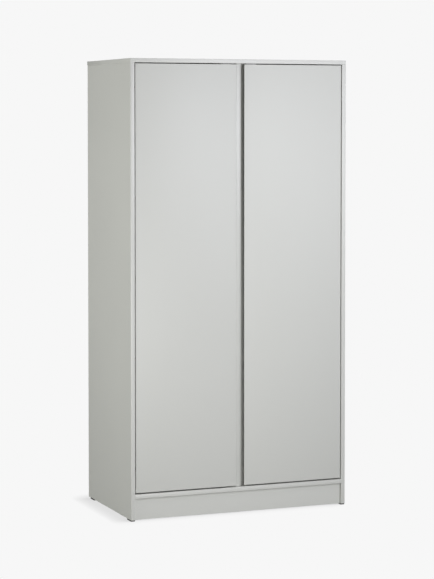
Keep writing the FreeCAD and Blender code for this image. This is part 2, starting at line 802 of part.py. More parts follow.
def mountingPlate():
    """Cross-shaped plate screwed to the side panel, under the tail of the arm."""
    wall = -mm("pivot_from_side")
    top = 0.4 - 1.2
    channel = block(wall, 34, -6.5, top, 88, 6.5)
    upper = [edge for edge in channel.Edges if edge.BoundBox.XMin > top - 0.01]
    channel = channel.makeChamfer(1.0, upper)
    screwY = 62 - mm("pivot_from_front")
    wings = block(wall, screwY - 9, -24, wall + 2.5, screwY + 9, 24)
    plate = channel.fuse(wings)
    for up in (-16, 16):
        plate = plate.cut(Part.makeCylinder(2.5, 6, Vector(wall - 1, screwY, up), Vector(1, 0, 0)))
    for along in (50, 74):
        plate = plate.cut(Part.makeCylinder(2.1, 8, Vector(top - 6, along, 0), Vector(1, 0, 0)))
    return plate.removeSplitter()


def armScrews():
    solids = []
    top = 0.4 + 1.2
    for along in (50, 74):
        head = Part.makeCone(3.6, 3.0, 1.8, Vector(top, along, 0), Vector(1, 0, 0))
        shank = Part.makeCylinder(2.1, 7, Vector(top, along, 0), Vector(-1, 0, 0))
        solids.append(head.fuse(shank).removeSplitter())
    return solids


def plateScrews():
    solids = []
    wall = -mm("pivot_from_side")
    screwY = 62 - mm("pivot_from_front")
    for up in (-16, 16):
        start = Vector(wall + 2.5, screwY, up)
        head = Part.makeCone(4.2, 3.4, 1.6, start, Vector(1, 0, 0))
        shank = Part.makeCylinder(2.5, 2.5 + mm("plate_screw_depth"), start, Vector(-1, 0, 0))
        solids.append(head.fuse(shank).removeSplitter())
    return solids


def hingeCup():
    """Pressed cup in the door: shell, mounting flange, two ears that hold the pivot pin."""
    backY = mm("door_inset") + mm("door_thick") - mm("pivot_from_front")
    edgeX = mm("side_gap") - mm("pivot_from_side")
    centreX = edgeX + mm("cup_centre_from_edge")
    deep = mm("cup_pocket_depth")
    into = Vector(0, -1, 0)
    shell = Part.makeCylinder(mm("cup_radius"), deep, Vector(centreX, backY, 0), into)
    flange = Part.makeCylinder(19, 1, Vector(centreX, backY + 1, 0), into)
    tab = block(centreX - 1, backY, -30, centreX + 11, backY + 1, 30)
    upright = [edge for edge in tab.Edges if edge.BoundBox.YLength > 0.9 and edge.BoundBox.ZLength < 0.1]
    tab = tab.makeFillet(4, upright)
    hollow = Part.makeCylinder(mm("cup_radius") - 0.9, deep + 2, Vector(centreX, backY + 2, 0), into)
    hollow = hollow.cut(block(centreX - 30, backY - deep - 1, -30, centreX + 30, backY - deep + 0.6, 30))
    cup = shell.fuse([flange, tab]).cut(hollow)
    half = mm("notch_half_height")
    cup = cup.cut(block(edgeX - 5, backY - deep + 0.6, -half, edgeX + 12, backY + 3, half))
    ears = []
    for low in (-9.6, 6.6):
        ear = block(-3.2, backY - deep + 0.3, low, 3.2, backY - 1.5, low + 3)
        ears.append(ear.common(Part.makeCylinder(mm("cup_radius") - 0.3, deep, Vector(centreX, backY, 0), into)))
    cup = cup.fuse(ears)
    cup = cup.cut(Part.makeCylinder(1.25, 30, Vector(0, 0, -15)))
    for up in (-24, 24):
        cup = cup.cut(Part.makeCylinder(2.5, 4, Vector(centreX + 5, backY + 2, up), into))
    return cup.removeSplitter()


def hingePin():
    return Part.makeCylinder(1.25, 19, Vector(0, 0, -9.5))


def cupScrews():
    backY = mm("door_inset") + mm("door_thick") - mm("pivot_from_front")
    centreX = mm("side_gap") - mm("pivot_from_side") + mm("cup_centre_from_edge")
    solids = []
    for up in (-24, 24):
        start = Vector(centreX + 5, backY + 1, up)
        head = Part.makeCone(4.0, 3.2, 1.4, start, Vector(0, 1, 0))
        shank = Part.makeCylinder(2.5, 1 + mm("bolt_thread_depth"), start, Vector(0, -1, 0))
        solids.append(head.fuse(shank).removeSplitter())
    return solids


def atHinges(solids, side):
    placed = []
    for z in hingeLevels:
        for solid in solids:
            copy = solid.translated(Vector(pivotX, pivotY, z))
            if side > 0:
                copy = copy.mirror(Vector(0, 0, 0), Vector(1, 0, 0))
            placed.append(copy)
    return placed


def makeHinges():
    arm = [hingeArm()]
    plate = [mountingPlate()]
    cup = [hingeCup()]
    pin = [hingePin()]
    for side, word in ((-1, "left"), (1, "right")):
        addGroup(word + "_hinge_arms", atHinges(arm, side))
        addGroup(word + "_mounting_plates", atHinges(plate, side))
        addGroup(word + "_arm_screws", atHinges(armScrews(), side))
        addGroup(word + "_plate_screws", atHinges(plateScrews(), side))
        addGroup(word + "_hinge_cups", atHinges(cup, side))
        addGroup(word + "_hinge_pins", atHinges(pin, side))
        addGroup(word + "_cup_screws", atHinges(cupScrews(), side))


# ------------------------------------------------------------ build, check

def buildAll():
    boards = makeCarcassBoards()
    drillBoards(boards)
    wall = [(240, sideRearY, ceilingZ - 30)]
    drill(boards["back_board_right"], 1, 1, sideRearY, "bolt_shank_radius", "bolt_thread_depth", wall)
    for name, side in (("left_door", -1), ("right_door", 1)):
        boreDoor(makeDoor(name, side), side)
    makeDowels()
    makeBolts()
    makeCams()
    makeShelfPins()
    makeLathScrews()
    makeNails()
    makeGlides()
    makeRail()
    sockets = [(-innerX, 1), (-partitionX, -1)]
    makeRailSocket("rail_socket_left", *sockets[0])
    makeRailSocket("rail_socket_right", *sockets[1])
    makeRailScrews(sockets)
    makeJoiningStrip()
    makeWallBracket()
    makeBracketScrews()
    for side in (-1, 1):
        makeMagnets(side)
        makeBumpers(side)
    makeHinges()
    doc.recompute()


def checkItems():
    """Stop before anything is written if an object is wrong or a hole cut nothing."""
    for item in doc.Objects:
        if "Invalid" in item.State or "Error" in item.State:
            raise RuntimeError("bad state: " + item.Name)
    for body in doc.findObjects("PartDesign::Body"):
        solids = [item for item in body.Group if item.isDerivedFrom("PartDesign::Feature")]
        for before, after in zip(solids, solids[1:]):
            if after.Shape.Volume >= before.Shape.Volume - 0.01:
                raise RuntimeError("nothing was cut by " + after.Name)


def exportItems():
    os.makedirs("parts", exist_ok=True)
    total = 0
    for item in doc.Objects:
        top = item.TypeId in ("PartDesign::Body", "Part::Feature")
        if not top:
            continue
        shape = item.Shape
        if shape.isNull() or not shape.isValid() or not shape.Solids:
            raise RuntimeError("bad shape: " + item.Label)
        shape.exportStep("parts/" + item.Label + ".step")
        total += 1
        print("%-26s solids %3d  volume %.1f cm3" % (item.Label, len(shape.Solids), shape.Volume / 1000))
    print("nodes", total)


buildAll()
checkItems()
exportItems()
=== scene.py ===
import bpy
import bmesh
import json
import math
from mathutils import Vector, Matrix


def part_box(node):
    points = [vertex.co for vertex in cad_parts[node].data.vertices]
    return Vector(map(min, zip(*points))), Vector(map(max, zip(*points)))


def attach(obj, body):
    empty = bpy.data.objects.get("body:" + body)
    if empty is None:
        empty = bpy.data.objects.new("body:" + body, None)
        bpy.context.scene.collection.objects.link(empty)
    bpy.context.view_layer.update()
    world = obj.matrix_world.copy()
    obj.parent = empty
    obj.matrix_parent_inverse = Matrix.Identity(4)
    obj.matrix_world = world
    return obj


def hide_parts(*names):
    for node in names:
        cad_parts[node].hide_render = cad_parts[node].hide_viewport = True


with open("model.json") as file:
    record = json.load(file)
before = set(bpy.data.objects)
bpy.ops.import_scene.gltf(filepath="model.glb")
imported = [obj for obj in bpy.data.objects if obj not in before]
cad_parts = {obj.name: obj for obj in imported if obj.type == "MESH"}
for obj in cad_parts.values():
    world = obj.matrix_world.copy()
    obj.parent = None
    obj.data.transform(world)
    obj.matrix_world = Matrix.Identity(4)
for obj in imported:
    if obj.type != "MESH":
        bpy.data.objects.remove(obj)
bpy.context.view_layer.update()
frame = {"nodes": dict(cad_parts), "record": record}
print("frame loaded")

# places taken from the fixed parts, in metres
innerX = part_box("right_side_panel")[0].x
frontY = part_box("left_side_panel")[0].y
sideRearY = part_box("left_side_panel")[1].y
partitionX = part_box("centre_partition")[1].x
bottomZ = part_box("bottom_panel")[0].z
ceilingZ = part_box("top_panel")[0].z
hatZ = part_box("hat_shelf_left")[0].z
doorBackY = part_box("left_strike_plate")[0].y
doorEdgeX = -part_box("left_door")[0].x
railZ = (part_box("hanging_rail")[0].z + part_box("hanging_rail")[1].z) / 2
shelfLevels = [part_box("loose_shelf_" + word)[0].z for word in ("lower", "middle", "upper")]
hingeLevels = [0.217, 0.690, 1.370, 1.839]
boardThick = 0.018
bothSides = ((-1, "left"), (1, "right"))


# ---- small helpers

sharpAngle = math.radians(35)  # edges steeper than this stay crisp


def linkedObject(name, data):
    made = bpy.data.objects.new(name, data)
    bpy.context.collection.objects.link(made)
    return made


def finishMesh(mesh):
    mesh.shade_smooth()
    mesh.set_sharp_from_angle(angle=sharpAngle)


def meshObject(name, work, materials):
    bmesh.ops.recalc_face_normals(work, faces=work.faces)
    mesh = bpy.data.meshes.new(name)
    work.to_mesh(mesh)
    work.free()
    for material in materials:
        mesh.materials.append(material)
    finishMesh(mesh)
    return linkedObject(name, mesh)


def standsFor(piece, body, slot, *nodes):
    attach(piece, body)
    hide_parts(*nodes)


def bakeModifiers(piece):
    # the evaluated mesh takes the place of the drawn one and its modifiers
    bpy.context.view_layer.update()
    graph = bpy.context.evaluated_depsgraph_get()
    fresh = bpy.data.meshes.new_from_object(piece.evaluated_get(graph))
    piece.modifiers.clear()
    piece.data = fresh
    finishMesh(fresh)


def addBox(work, low, high, turn=Matrix()):
    low, high = Vector(low), Vector(high)
    stretch = Matrix.Diagonal((*(high - low), 1.0))
    placed = turn @ Matrix.Translation((high + low) / 2) @ stretch
    return bmesh.ops.create_cube(work, size=1.0, matrix=placed)["verts"]


def edgesOf(corners):
    return {edge for corner in corners for edge in corner.link_edges}


def roundEdges(work, edges, radius, segments, materialIndex=0):
    bmesh.ops.bevel(work, geom=list(edges), offset=radius, segments=segments, profile=0.5,
                    affect="EDGES", material=materialIndex)


def joinRings(work, first, second):
    # a band of faces between two rings; a ring of one point gives a fan
    count = max(len(first), len(second))
    for step in range(count):
        after = (step + 1) % count
        corners = [first[step % len(first)], first[after % len(first)],
                   second[after % len(second)], second[step % len(second)]]
        work.faces.new(list(dict.fromkeys(corners)))


# ---- node helpers, for shaders and for geometry

def newTree(kind, name, inputs, outputs):
    # each socket is a label, a kind and, where it has one, a value
    tree = bpy.data.node_groups.new(name, kind)
    for label, socketKind, *value in inputs:
        socket = tree.interface.new_socket(name=label, in_out="INPUT",
                                           socket_type="NodeSocket" + socketKind)
        if value:
            socket.default_value = value[0]
    for label, socketKind in outputs:
        tree.interface.new_socket(name=label, in_out="OUTPUT",
                                  socket_type="NodeSocket" + socketKind)
    return tree, tree.nodes.new("NodeGroupInput"), tree.nodes.new("NodeGroupOutput")


def addNode(tree, kind, inputs=(), **settings):
    node = tree.nodes.new(kind)
    for label, value in settings.items():
        setattr(node, label, value)
    for socket, source in inputs:
        if isinstance(source, bpy.types.NodeSocket):
            tree.links.new(source, node.inputs[socket])
        else:
            node.inputs[socket].default_value = source
    return node


def mathNode(tree, operation, first, second, clamp=False):
    return addNode(tree, "ShaderNodeMath", [(0, first), (1, second)],
                   operation=operation, use_clamp=clamp).outputs[0]


def mixColours(tree, mask, first, second):
    pair = [(*source, 1.0) if isinstance(source, tuple) else source for source in (first, second)]
    return addNode(tree, "ShaderNodeMix", [(0, mask), (6, pair[0]), (7, pair[1])],
                   data_type="RGBA").outputs[2]


def noiseNode(tree, place, scale, detail):
    return addNode(tree, "ShaderNodeTexNoise",
                   [("Vector", place), ("Scale", scale), ("Detail", detail)]).outputs["Fac"]


def rampBetween(tree, source, low, high, fromLow=0.25, fromHigh=0.75):
    return addNode(tree, "ShaderNodeMapRange",
                   [("Value", source), ("From Min", fromLow), ("From Max", fromHigh),
                    ("To Min", low), ("To Max", high)]).outputs["Result"]


# ---- shader groups shared by the finishes

grainLook = dict(fineDetail=3.0, broadDetail=4.0, cellShare=0.6)
wearLook = dict(samples=4, radius=0.0015, patchScale=35.0, patchDetail=5.0)
dustLook = dict(leastTilt=0.6, gain=2.5, cloudScale=6.0, cloudDetail=6.0, colour=(0.72, 0.71, 0.68))


def makeFineGrain():
    # fine speckle and slow cloudiness of a pressed or sprayed skin
    tree, come, leave = newTree(
        "ShaderNodeTree", "fineGrain",
        [("Vector", "Vector"), ("Fine Scale", "Float", 900.0), ("Broad Scale", "Float", 3.0)],
        [("Fine", "Float"), ("Broad", "Float"), ("Relief", "Float")])
    put = come.outputs
    fine = noiseNode(tree, put["Vector"], put["Fine Scale"], grainLook["fineDetail"])
    broad = noiseNode(tree, put["Vector"], put["Broad Scale"], grainLook["broadDetail"])
    cells = addNode(tree, "ShaderNodeTexVoronoi",
                    [("Vector", put["Vector"]), ("Scale", put["Fine Scale"])])
    pits = mathNode(tree, "MULTIPLY", cells.outputs["Distance"], grainLook["cellShare"])
    tree.links.new(fine, leave.inputs["Fine"])
    tree.links.new(broad, leave.inputs["Broad"])
    tree.links.new(mathNode(tree, "ADD", pits, fine), leave.inputs["Relief"])
    return tree


def makeEdgeWear():
    # a mask that is bright along outward edges, broken up by noise
    tree, come, leave = newTree(
        "ShaderNodeTree", "edgeWear",
        [("Vector", "Vector"), ("Radius", "Float", 0.002), ("Gain", "Float", 6.0)],
        [("Mask", "Float")])
    put = come.outputs
    rounded = addNode(tree, "ShaderNodeBevel", [("Radius", put["Radius"])],
                      samples=wearLook["samples"])
    surface = tree.nodes.new("ShaderNodeNewGeometry")
    dot = addNode(tree, "ShaderNodeVectorMath",
                  [(0, rounded.outputs["Normal"]), (1, surface.outputs["Normal"])],
                  operation="DOT_PRODUCT")
    turned = mathNode(tree, "SUBTRACT", 1.0, dot.outputs["Value"])
    gained = mathNode(tree, "MULTIPLY", turned, put["Gain"], True)
    patchy = noiseNode(tree, put["Vector"], wearLook["patchScale"], wearLook["patchDetail"])
    mask = mathNode(tree, "MULTIPLY", gained, patchy, True)
    tree.links.new(mask, leave.inputs["Mask"])
    return tree


def makeDustFilm():
    # thin dust on faces that look up
    tree, come, leave = newTree("ShaderNodeTree", "dustFilm",
                                [("Vector", "Vector"), ("Amount", "Float", 0.2)],
                                [("Mask", "Float")])
    put = come.outputs
    surface = tree.nodes.new("ShaderNodeNewGeometry")
    split = addNode(tree, "ShaderNodeSeparateXYZ", [(0, surface.outputs["Normal"])])
    tilt = mathNode(tree, "SUBTRACT", split.outputs["Z"], dustLook["leastTilt"])
    upward = mathNode(tree, "MULTIPLY", tilt, dustLook["gain"], True)
    clouds = noiseNode(tree, put["Vector"], dustLook["cloudScale"], dustLook["cloudDetail"])
    patchy = mathNode(tree, "MULTIPLY", upward, clouds, True)
    mask = mathNode(tree, "MULTIPLY", patchy, put["Amount"], True)
    tree.links.new(mask, leave.inputs["Mask"])
    return tree


fineGrain = makeFineGrain()
edgeWear = makeEdgeWear()
dustFilm = makeDustFilm()


# ---- finishes

sage = (0.600, 0.607, 0.570)

finishLooks = {
    "carcassFoil": dict(colour=sage, fineScale=1100.0, broadScale=2.2, cloud=0.010, speckle=0.03,
                        roughness=(0.46, 0.54), relief=0.10, wear=3.0, specular=0.40,
                        wornColour=(0.68, 0.685, 0.655), dust=0.10),
    "doorLacquer": dict(colour=sage, fineScale=800.0, broadScale=1.6, cloud=0.008, speckle=0.02,
                        roughness=(0.44, 0.52), relief=0.08, wear=3.0, specular=0.38,
                        wornColour=(0.70, 0.705, 0.68), coat=0.06, coatRoughness=0.35),
    "edgeBand": dict(colour=(0.615, 0.622, 0.585), fineScale=1500.0, broadScale=5.0, cloud=0.015,
                     roughness=(0.32, 0.42), relief=0.12, wear=4.0,
                     wornColour=(0.70, 0.705, 0.68)),
    "rawCore": dict(colour=(0.46, 0.34, 0.21), fineScale=700.0, broadScale=160.0, cloud=0.25,
                    speckle=0.55, roughness=(0.75, 0.95), relief=0.8, reliefDepth=0.0006),
    "backFoil": dict(colour=(0.64, 0.64, 0.615), fineScale=1400.0, broadScale=4.0, cloud=0.02,
                     speckle=0.05, roughness=(0.55, 0.68), relief=0.25),
    "beechDowel": dict(colour=(0.60, 0.42, 0.25), fineScale=600.0, broadScale=40.0, cloud=0.12,
                       speckle=0.2, roughness=(0.6, 0.75), relief=0.4, stretch=(1.0, 1.0, 0.2)),
    "zincPlated": dict(colour=(0.60, 0.61, 0.63), fineScale=2200.0, broadScale=60.0, cloud=0.06,
                       roughness=(0.26, 0.40), relief=0.15, metal=1.0, wear=5.0,
                       wornColour=(0.78, 0.78, 0.78)),
    "nickelPlated": dict(colour=(0.62, 0.60, 0.57), fineScale=1800.0, broadScale=30.0, cloud=0.04,
                         roughness=(0.20, 0.32), relief=0.08, metal=1.0, wear=5.0,
                         wornColour=(0.80, 0.79, 0.76)),
    "railChrome": dict(colour=(0.74, 0.74, 0.75), fineScale=900.0, broadScale=12.0, cloud=0.02,
                       roughness=(0.07, 0.14), relief=0.03, metal=1.0, stretch=(0.05, 1.0, 1.0)),
    "palePlastic": dict(colour=(0.66, 0.66, 0.64), fineScale=1600.0, broadScale=20.0, cloud=0.02,
                        roughness=(0.42, 0.55), relief=0.2),
    "blackPlastic": dict(colour=(0.010, 0.010, 0.011), fineScale=1300.0, broadScale=25.0,
                         cloud=0.15, roughness=(0.50, 0.65), relief=0.35, specular=0.25),
    "softPad": dict(colour=(0.55, 0.55, 0.54), fineScale=1200.0, broadScale=30.0, cloud=0.04,
                    roughness=(0.35, 0.50), relief=0.15, soft=0.2, softDepth=0.001),
}


def makeFinish(name, look):
    material = bpy.data.materials.new(name)
    material.use_nodes = True
    tree = material.node_tree
    shader = tree.nodes["Principled BSDF"].inputs
    place = tree.nodes.new("ShaderNodeTexCoord").outputs["Object"]
    if "stretch" in look:
        mapping = addNode(tree, "ShaderNodeMapping",
                          [("Vector", place), ("Scale", look["stretch"])])
        place = mapping.outputs["Vector"]
    grain = addNode(tree, "ShaderNodeGroup",
                    [("Vector", place), ("Fine Scale", look["fineScale"]),
                     ("Broad Scale", look["broadScale"])], node_tree=fineGrain).outputs
    base = look["colour"]
    darker = tuple(value * (1 - look["cloud"]) for value in base)
    lighter = tuple(min(1.0, value * (1 + look["cloud"])) for value in base)
    colour = mixColours(tree, rampBetween(tree, grain["Broad"], 0.0, 1.0), darker, lighter)
    if "speckle" in look:
        fleck = tuple(value * (1 - look["speckle"]) for value in base)
        colour = mixColours(tree, rampBetween(tree, grain["Fine"], -0.6, 0.6), colour, fleck)
    if "wear" in look:
        worn = addNode(tree, "ShaderNodeGroup",
                       [("Vector", place), ("Radius", wearLook["radius"]), ("Gain", look["wear"])],
                       node_tree=edgeWear)
        colour = mixColours(tree, worn.outputs["Mask"], colour, look["wornColour"])
    if "dust" in look:
        dusty = addNode(tree, "ShaderNodeGroup", [("Vector", place), ("Amount", look["dust"])],
                        node_tree=dustFilm)
        colour = mixColours(tree, dusty.outputs["Mask"], colour, dustLook["colour"])
    bump = addNode(tree, "ShaderNodeBump",
                   [("Strength", look["relief"]), ("Distance", look.get("reliefDepth", 0.0002)),
                    ("Height", grain["Relief"])])
    tree.links.new(colour, shader["Base Color"])
    tree.links.new(rampBetween(tree, grain["Broad"], *look["roughness"]), shader["Roughness"])
    tree.links.new(bump.outputs["Normal"], shader["Normal"])
    shader["Metallic"].default_value = look.get("metal", 0.0)
    shader["Specular IOR Level"].default_value = look.get("specular", 0.5)
    if "coat" in look:
        shader["Coat Weight"].default_value = look["coat"]
        shader["Coat Roughness"].default_value = look["coatRoughness"]
    if "soft" in look:
        shader["Subsurface Weight"].default_value = look["soft"]
        shader["Subsurface Scale"].default_value = look["softDepth"]
    return material


finishes = {name: makeFinish(name, look) for name, look in finishLooks.items()}
print("finishes made:", len(finishes))

slotFinish = {
    "grey_board": "carcassFoil", "door_board": "doorLacquer", "back_board": "backFoil",
    "beech": "beechDowel", "zinc": "zincPlated", "nickel_steel": "nickelPlated",
    "chrome_rail": "railChrome", "pale_plastic": "palePlastic", "black_plastic": "blackPlastic",
    "soft_pad": "softPad",
}


def dressFixedParts():
    for part in frame["record"]["subparts"]:
        material = finishes[slotFinish[part["material_slot"]]]
        for slot in frame["nodes"][part["node"]].material_slots:
            slot.material = material


dressFixedParts()


# ---- boards: rounded edges, edge bands, drilled holes

boardLook = dict(edgeRadius=0.0008, backRadius=0.0003, edgeSegments=3, bandThickness=0.0008,
                 plinthGap=0.0018, plugSides=28, plugOutside=0.002)
wallScrew = dict(x=0.240, drop=0.030, radius=0.0035, depth=0.004)


def holeCutter(name, holes):
    # one mesh of round plugs: (point on the face, way into the board, radius, depth)
    work = bmesh.new()
    outside = boardLook["plugOutside"]
    for point, way, radius, depth in holes:
        turn = Vector(way).to_track_quat("Z", "Y").to_matrix().to_4x4()
        centre = Vector(point) + Vector(way) * (depth / 2 - outside / 2)
        bmesh.ops.create_cone(work, cap_ends=True, segments=boardLook["plugSides"],
                              radius1=radius, radius2=radius, depth=depth + outside,
                              matrix=Matrix.Translation(centre) @ turn)
    return meshObject(name, work, [finishes["rawCore"]])


def cutHoles(piece, cutters, overlapping=False):
    for cutter in cutters:
        drilled = piece.modifiers.new("drill", "BOOLEAN")
        drilled.operation = "DIFFERENCE"
        drilled.solver = "EXACT"
        drilled.material_mode = "TRANSFER"
        drilled.use_self = overlapping
        drilled.object = cutter
    bakeModifiers(piece)
    for cutter in cutters:
        bpy.data.objects.remove(cutter)


def boardMesh(low, high, radius):
    size = high - low
    thin = min(range(3), key=lambda axis: size[axis])
    work = bmesh.new()
    bmesh.ops.create_cube(work, size=1.0)
    for corner in work.verts:
        for axis in range(3):
            corner.co[axis] = low[axis] + (corner.co[axis] + 0.5) * size[axis]
    roundEdges(work, work.edges, radius, boardLook["edgeSegments"])
    flat = [face for face in work.faces if abs(face.normal[thin]) > 0.999]
    for face in work.faces:
        face.material_index = 1
    bmesh.ops.inset_individual(work, faces=flat, thickness=min(radius, boardLook["bandThickness"]))
    for face in flat:
        face.material_index = 0
    return work


def makeBoard(name, node, holes=(), slot="grey_board", edge="edgeBand",
              radius=boardLook["edgeRadius"], endGap=0.0):
    low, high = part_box(node)
    shorter = Vector((endGap, 0.0, 0.0))
    piece = meshObject(name, boardMesh(low + shorter, high - shorter, radius),
                       [finishes[slotFinish[slot]], finishes[edge], finishes["rawCore"]])
    if holes:
        cutHoles(piece, [holeCutter(name + "Plugs", holes)])
    standsFor(piece, "carcass", slot, node)


camSize = dict(radius=0.0075, depth=0.0132, distance=0.034, boltRows=(-0.230, 0.0, 0.230),
               leftHatRows=(-0.200, 0.220), rightHatRows=(-0.168, 0.188))
pinSize = dict(radius=0.0025, depth=0.010, pitch=0.032, stepsEachWay=3, rows=(-0.210, 0.220))


def camPlaces():
    # (point on the board face, way in)
    places = []
    reach = camSize["distance"]
    for y in camSize["boltRows"]:
        for side in (-1, 1):
            places.append(((side * innerX, y, ceilingZ - reach), (side, 0, 0)))
            places.append(((side * (innerX - reach), y, bottomZ), (0, 0, 1)))
    for rows, side in ((camSize["leftHatRows"], -1), (camSize["rightHatRows"], 1)):
        for y in rows:
            for x in (innerX - reach, partitionX + reach):
                places.append(((side * x, y, hatZ), (0, 0, 1)))
    return places


def camHoles(node):
    # the cam pockets that start inside this board
    low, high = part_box(node)
    holes = []
    for point, way in camPlaces():
        inside = Vector(point) + Vector(way) * boardLook["plugOutside"]
        if all(low[axis] < inside[axis] < high[axis] for axis in range(3)):
            holes.append((point, way, camSize["radius"], camSize["depth"]))
    return holes


def pinHoles(wallX, way):
    steps = range(-pinSize["stepsEachWay"], pinSize["stepsEachWay"] + 1)
    return [((wallX, y, level - pinSize["radius"] + step * pinSize["pitch"]), (way, 0, 0),
             pinSize["radius"], pinSize["depth"])
            for level in shelfLevels for step in steps for y in pinSize["rows"]]


boardNodes = {
    "topBoard": "top_panel", "leftSideBoard": "left_side_panel",
    "rightSideBoard": "right_side_panel", "bottomBoard": "bottom_panel",
    "partitionBoard": "centre_partition", "leftClosingLath": "closing_lath_left",
    "rightClosingLath": "closing_lath_right", "plinthFrontBoard": "plinth_front",
    "plinthRearBoard": "plinth_rear", "plinthMiddleBoard": "plinth_centre_support",
    "leftHatShelf": "hat_shelf_left", "rightHatShelf": "hat_shelf_right",
    "lowerLooseShelf": "loose_shelf_lower", "middleLooseShelf": "loose_shelf_middle",
    "upperLooseShelf": "loose_shelf_upper",
}


def makeCarcass():
    pinRows = {"rightSideBoard": pinHoles(innerX, 1), "partitionBoard": pinHoles(partitionX, -1)}
    endGaps = {"plinthFrontBoard": boardLook["plinthGap"]}
    for name, node in boardNodes.items():
        makeBoard(name, node, camHoles(node) + pinRows.get(name, []),
                  endGap=endGaps.get(name, 0.0))
    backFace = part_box("back_board_right")[0].y
    wallHole = [((wallScrew["x"], backFace, ceilingZ - wallScrew["drop"]), (0, 1, 0),
                 wallScrew["radius"], wallScrew["depth"])]
    for word, holes in (("left", ()), ("right", wallHole)):
        makeBoard(word + "BackBoard", "back_board_" + word, holes, "back_board", "rawCore",
                  boardLook["backRadius"])


makeCarcass()
print("carcass boards made")


# ---- doors

doorLook = dict(edgeRadius=0.0010, edgeSegments=3, lip=0.004, cupRadius=0.0175, pocketDepth=0.015,
                cupFromEdge=0.0215, notchHalf=0.0065, notchReach=0.016)


def doorMesh(low, high, side):
    # flat leaf whose free edge has a short lip and a slant behind it
    lipY = low.y + doorLook["lip"]
    gripX, hingeX = (high.x, low.x) if side < 0 else (low.x, high.x)
    outline = [(hingeX, low.y), (gripX, low.y), (gripX, lipY),
               (gripX + side * (high.y - lipY), high.y), (hingeX, high.y)]
    work = bmesh.new()
    lower, upper = [[work.verts.new((x, y, z)) for x, y in outline] for z in (low.z, high.z)]
    work.faces.new(lower)
    work.faces.new(upper)
    joinRings(work, lower, upper)
    bmesh.ops.recalc_face_normals(work, faces=work.faces)
    roundEdges(work, work.edges, doorLook["edgeRadius"], doorLook["edgeSegments"])
    return work


def notchCutter(name, side):
    # clears the way of the hinge arms from the door edge into the cup pockets
    work = bmesh.new()
    half = doorLook["notchHalf"]
    outside = boardLook["plugOutside"]
    lowX, highX = sorted((side * (doorEdgeX + outside),
                          side * (doorEdgeX - doorLook["notchReach"])))
    for z in hingeLevels:
        addBox(work, (lowX, doorBackY - doorLook["pocketDepth"], z - half),
               (highX, doorBackY + outside, z + half))
    return meshObject(name, work, [finishes["rawCore"]])


def makeDoor(name, node, body, side):
    low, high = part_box(node)
    piece = meshObject(name, doorMesh(low, high, side),
                       [finishes["doorLacquer"], finishes["rawCore"]])
    cupX = side * (doorEdgeX - doorLook["cupFromEdge"])
    cups = [((cupX, doorBackY, z), (0, -1, 0), doorLook["cupRadius"], doorLook["pocketDepth"])
            for z in hingeLevels]
    cutHoles(piece, [holeCutter(name + "Plugs", cups), notchCutter(name + "Notches", side)])
    standsFor(piece, body, "door_board", node)


for side, word in bothSides:
    makeDoor(word + "DoorLeaf", word + "_door", word + "_leaf", side)
print("doors made")


# ---- hinges, drawn once from the pivot of the left door, in millimetres

hingeLook = dict(
    pivotFromSide=12.6, pivotFromFront=8.5, softEdge=0.3,
    armPath=((0.0, 0.0), (10.9, 13.0), (10.9, 24.0), (0.4, 37.0), (0.4, 86.0)),
    armThick=2.4, armHalf=5.5, armBend=4.0, armSoft=0.35, eyeRadius=2.7, eyeProud=0.1,
    ribHalf=(1.3, 6.5), ribRound=1.2, ribRise=0.5, ribAlong=62.0)
plateLook = dict(
    channel=((-12.6, 34.0), (-0.8, 88.0)), channelHalf=6.5, channelRound=2.5, channelSoft=0.9,
    wingMiddle=53.5, wingHalf=(9.0, 24.0), wingRound=6.0, wingThick=2.5, wingSoft=0.5)
cupLook = dict(
    centre=12.9, radius=17.5, wall=0.9, depth=15.0, bottom=0.6, round=2.2, roundSteps=5,
    doorBack=11.5, lipRise=0.9, lipTop=1.15, flangeRadius=19.0, flangeThick=1.0,
    tabHalf=(6.0, 30.0), tabShift=5.0, tabRound=4.0, blend=5.0, outlineSteps=96,
    earHalf=(3.2, 6.4), earRound=2.2, earLow=6.6, earHigh=9.6, earAlong=3.4,
    notchLow=(-14.6, -2.9), notchHigh=(3.4, 16.0))


def roundedPath(points, radius, steps=6):
    # the same path with every bend turned into an arc
    path = [Vector(points[0])]
    for index in range(1, len(points) - 1):
        corner = Vector(points[index])
        before = (Vector(points[index - 1]) - corner).normalized()
        after = (Vector(points[index + 1]) - corner).normalized()
        half = before.angle(after) / 2
        reach = radius / math.tan(half)
        middle = corner + (before + after).normalized() * (radius / math.sin(half))
        start = corner + before * reach - middle
        end = corner + after * reach - middle
        for step in range(steps + 1):
            path.append(middle + start.slerp(end, step / steps).normalized() * radius)
    path.append(Vector(points[-1]))
    return path


def stripOutline(path, thick):
    sides = ([], [])
    for index, point in enumerate(path):
        ahead = (path[min(index + 1, len(path) - 1)] - path[max(index - 1, 0)]).normalized()
        across = Vector((-ahead.y, ahead.x)) * thick / 2
        sides[0].append(point + across)
        sides[1].append(point - across)
    return sides[0] + sides[1][::-1]


def roundedRectangle(half, radius, steps=8):
    outline = []
    for quarter in range(4):
        signAcross = 1 if quarter in (0, 3) else -1
        signUp = 1 if quarter in (0, 1) else -1
        for step in range(steps + 1):
            angle = quarter * math.pi / 2 + math.pi / 2 * step / steps
            outline.append((signAcross * (half[0] - radius) + radius * math.cos(angle),
                            signUp * (half[1] - radius) + radius * math.sin(angle)))
    return outline


def circleOutline(radius, count):
    angles = [2 * math.pi * step / count for step in range(count)]
    return [(radius * math.cos(angle), radius * math.sin(angle)) for angle in angles]


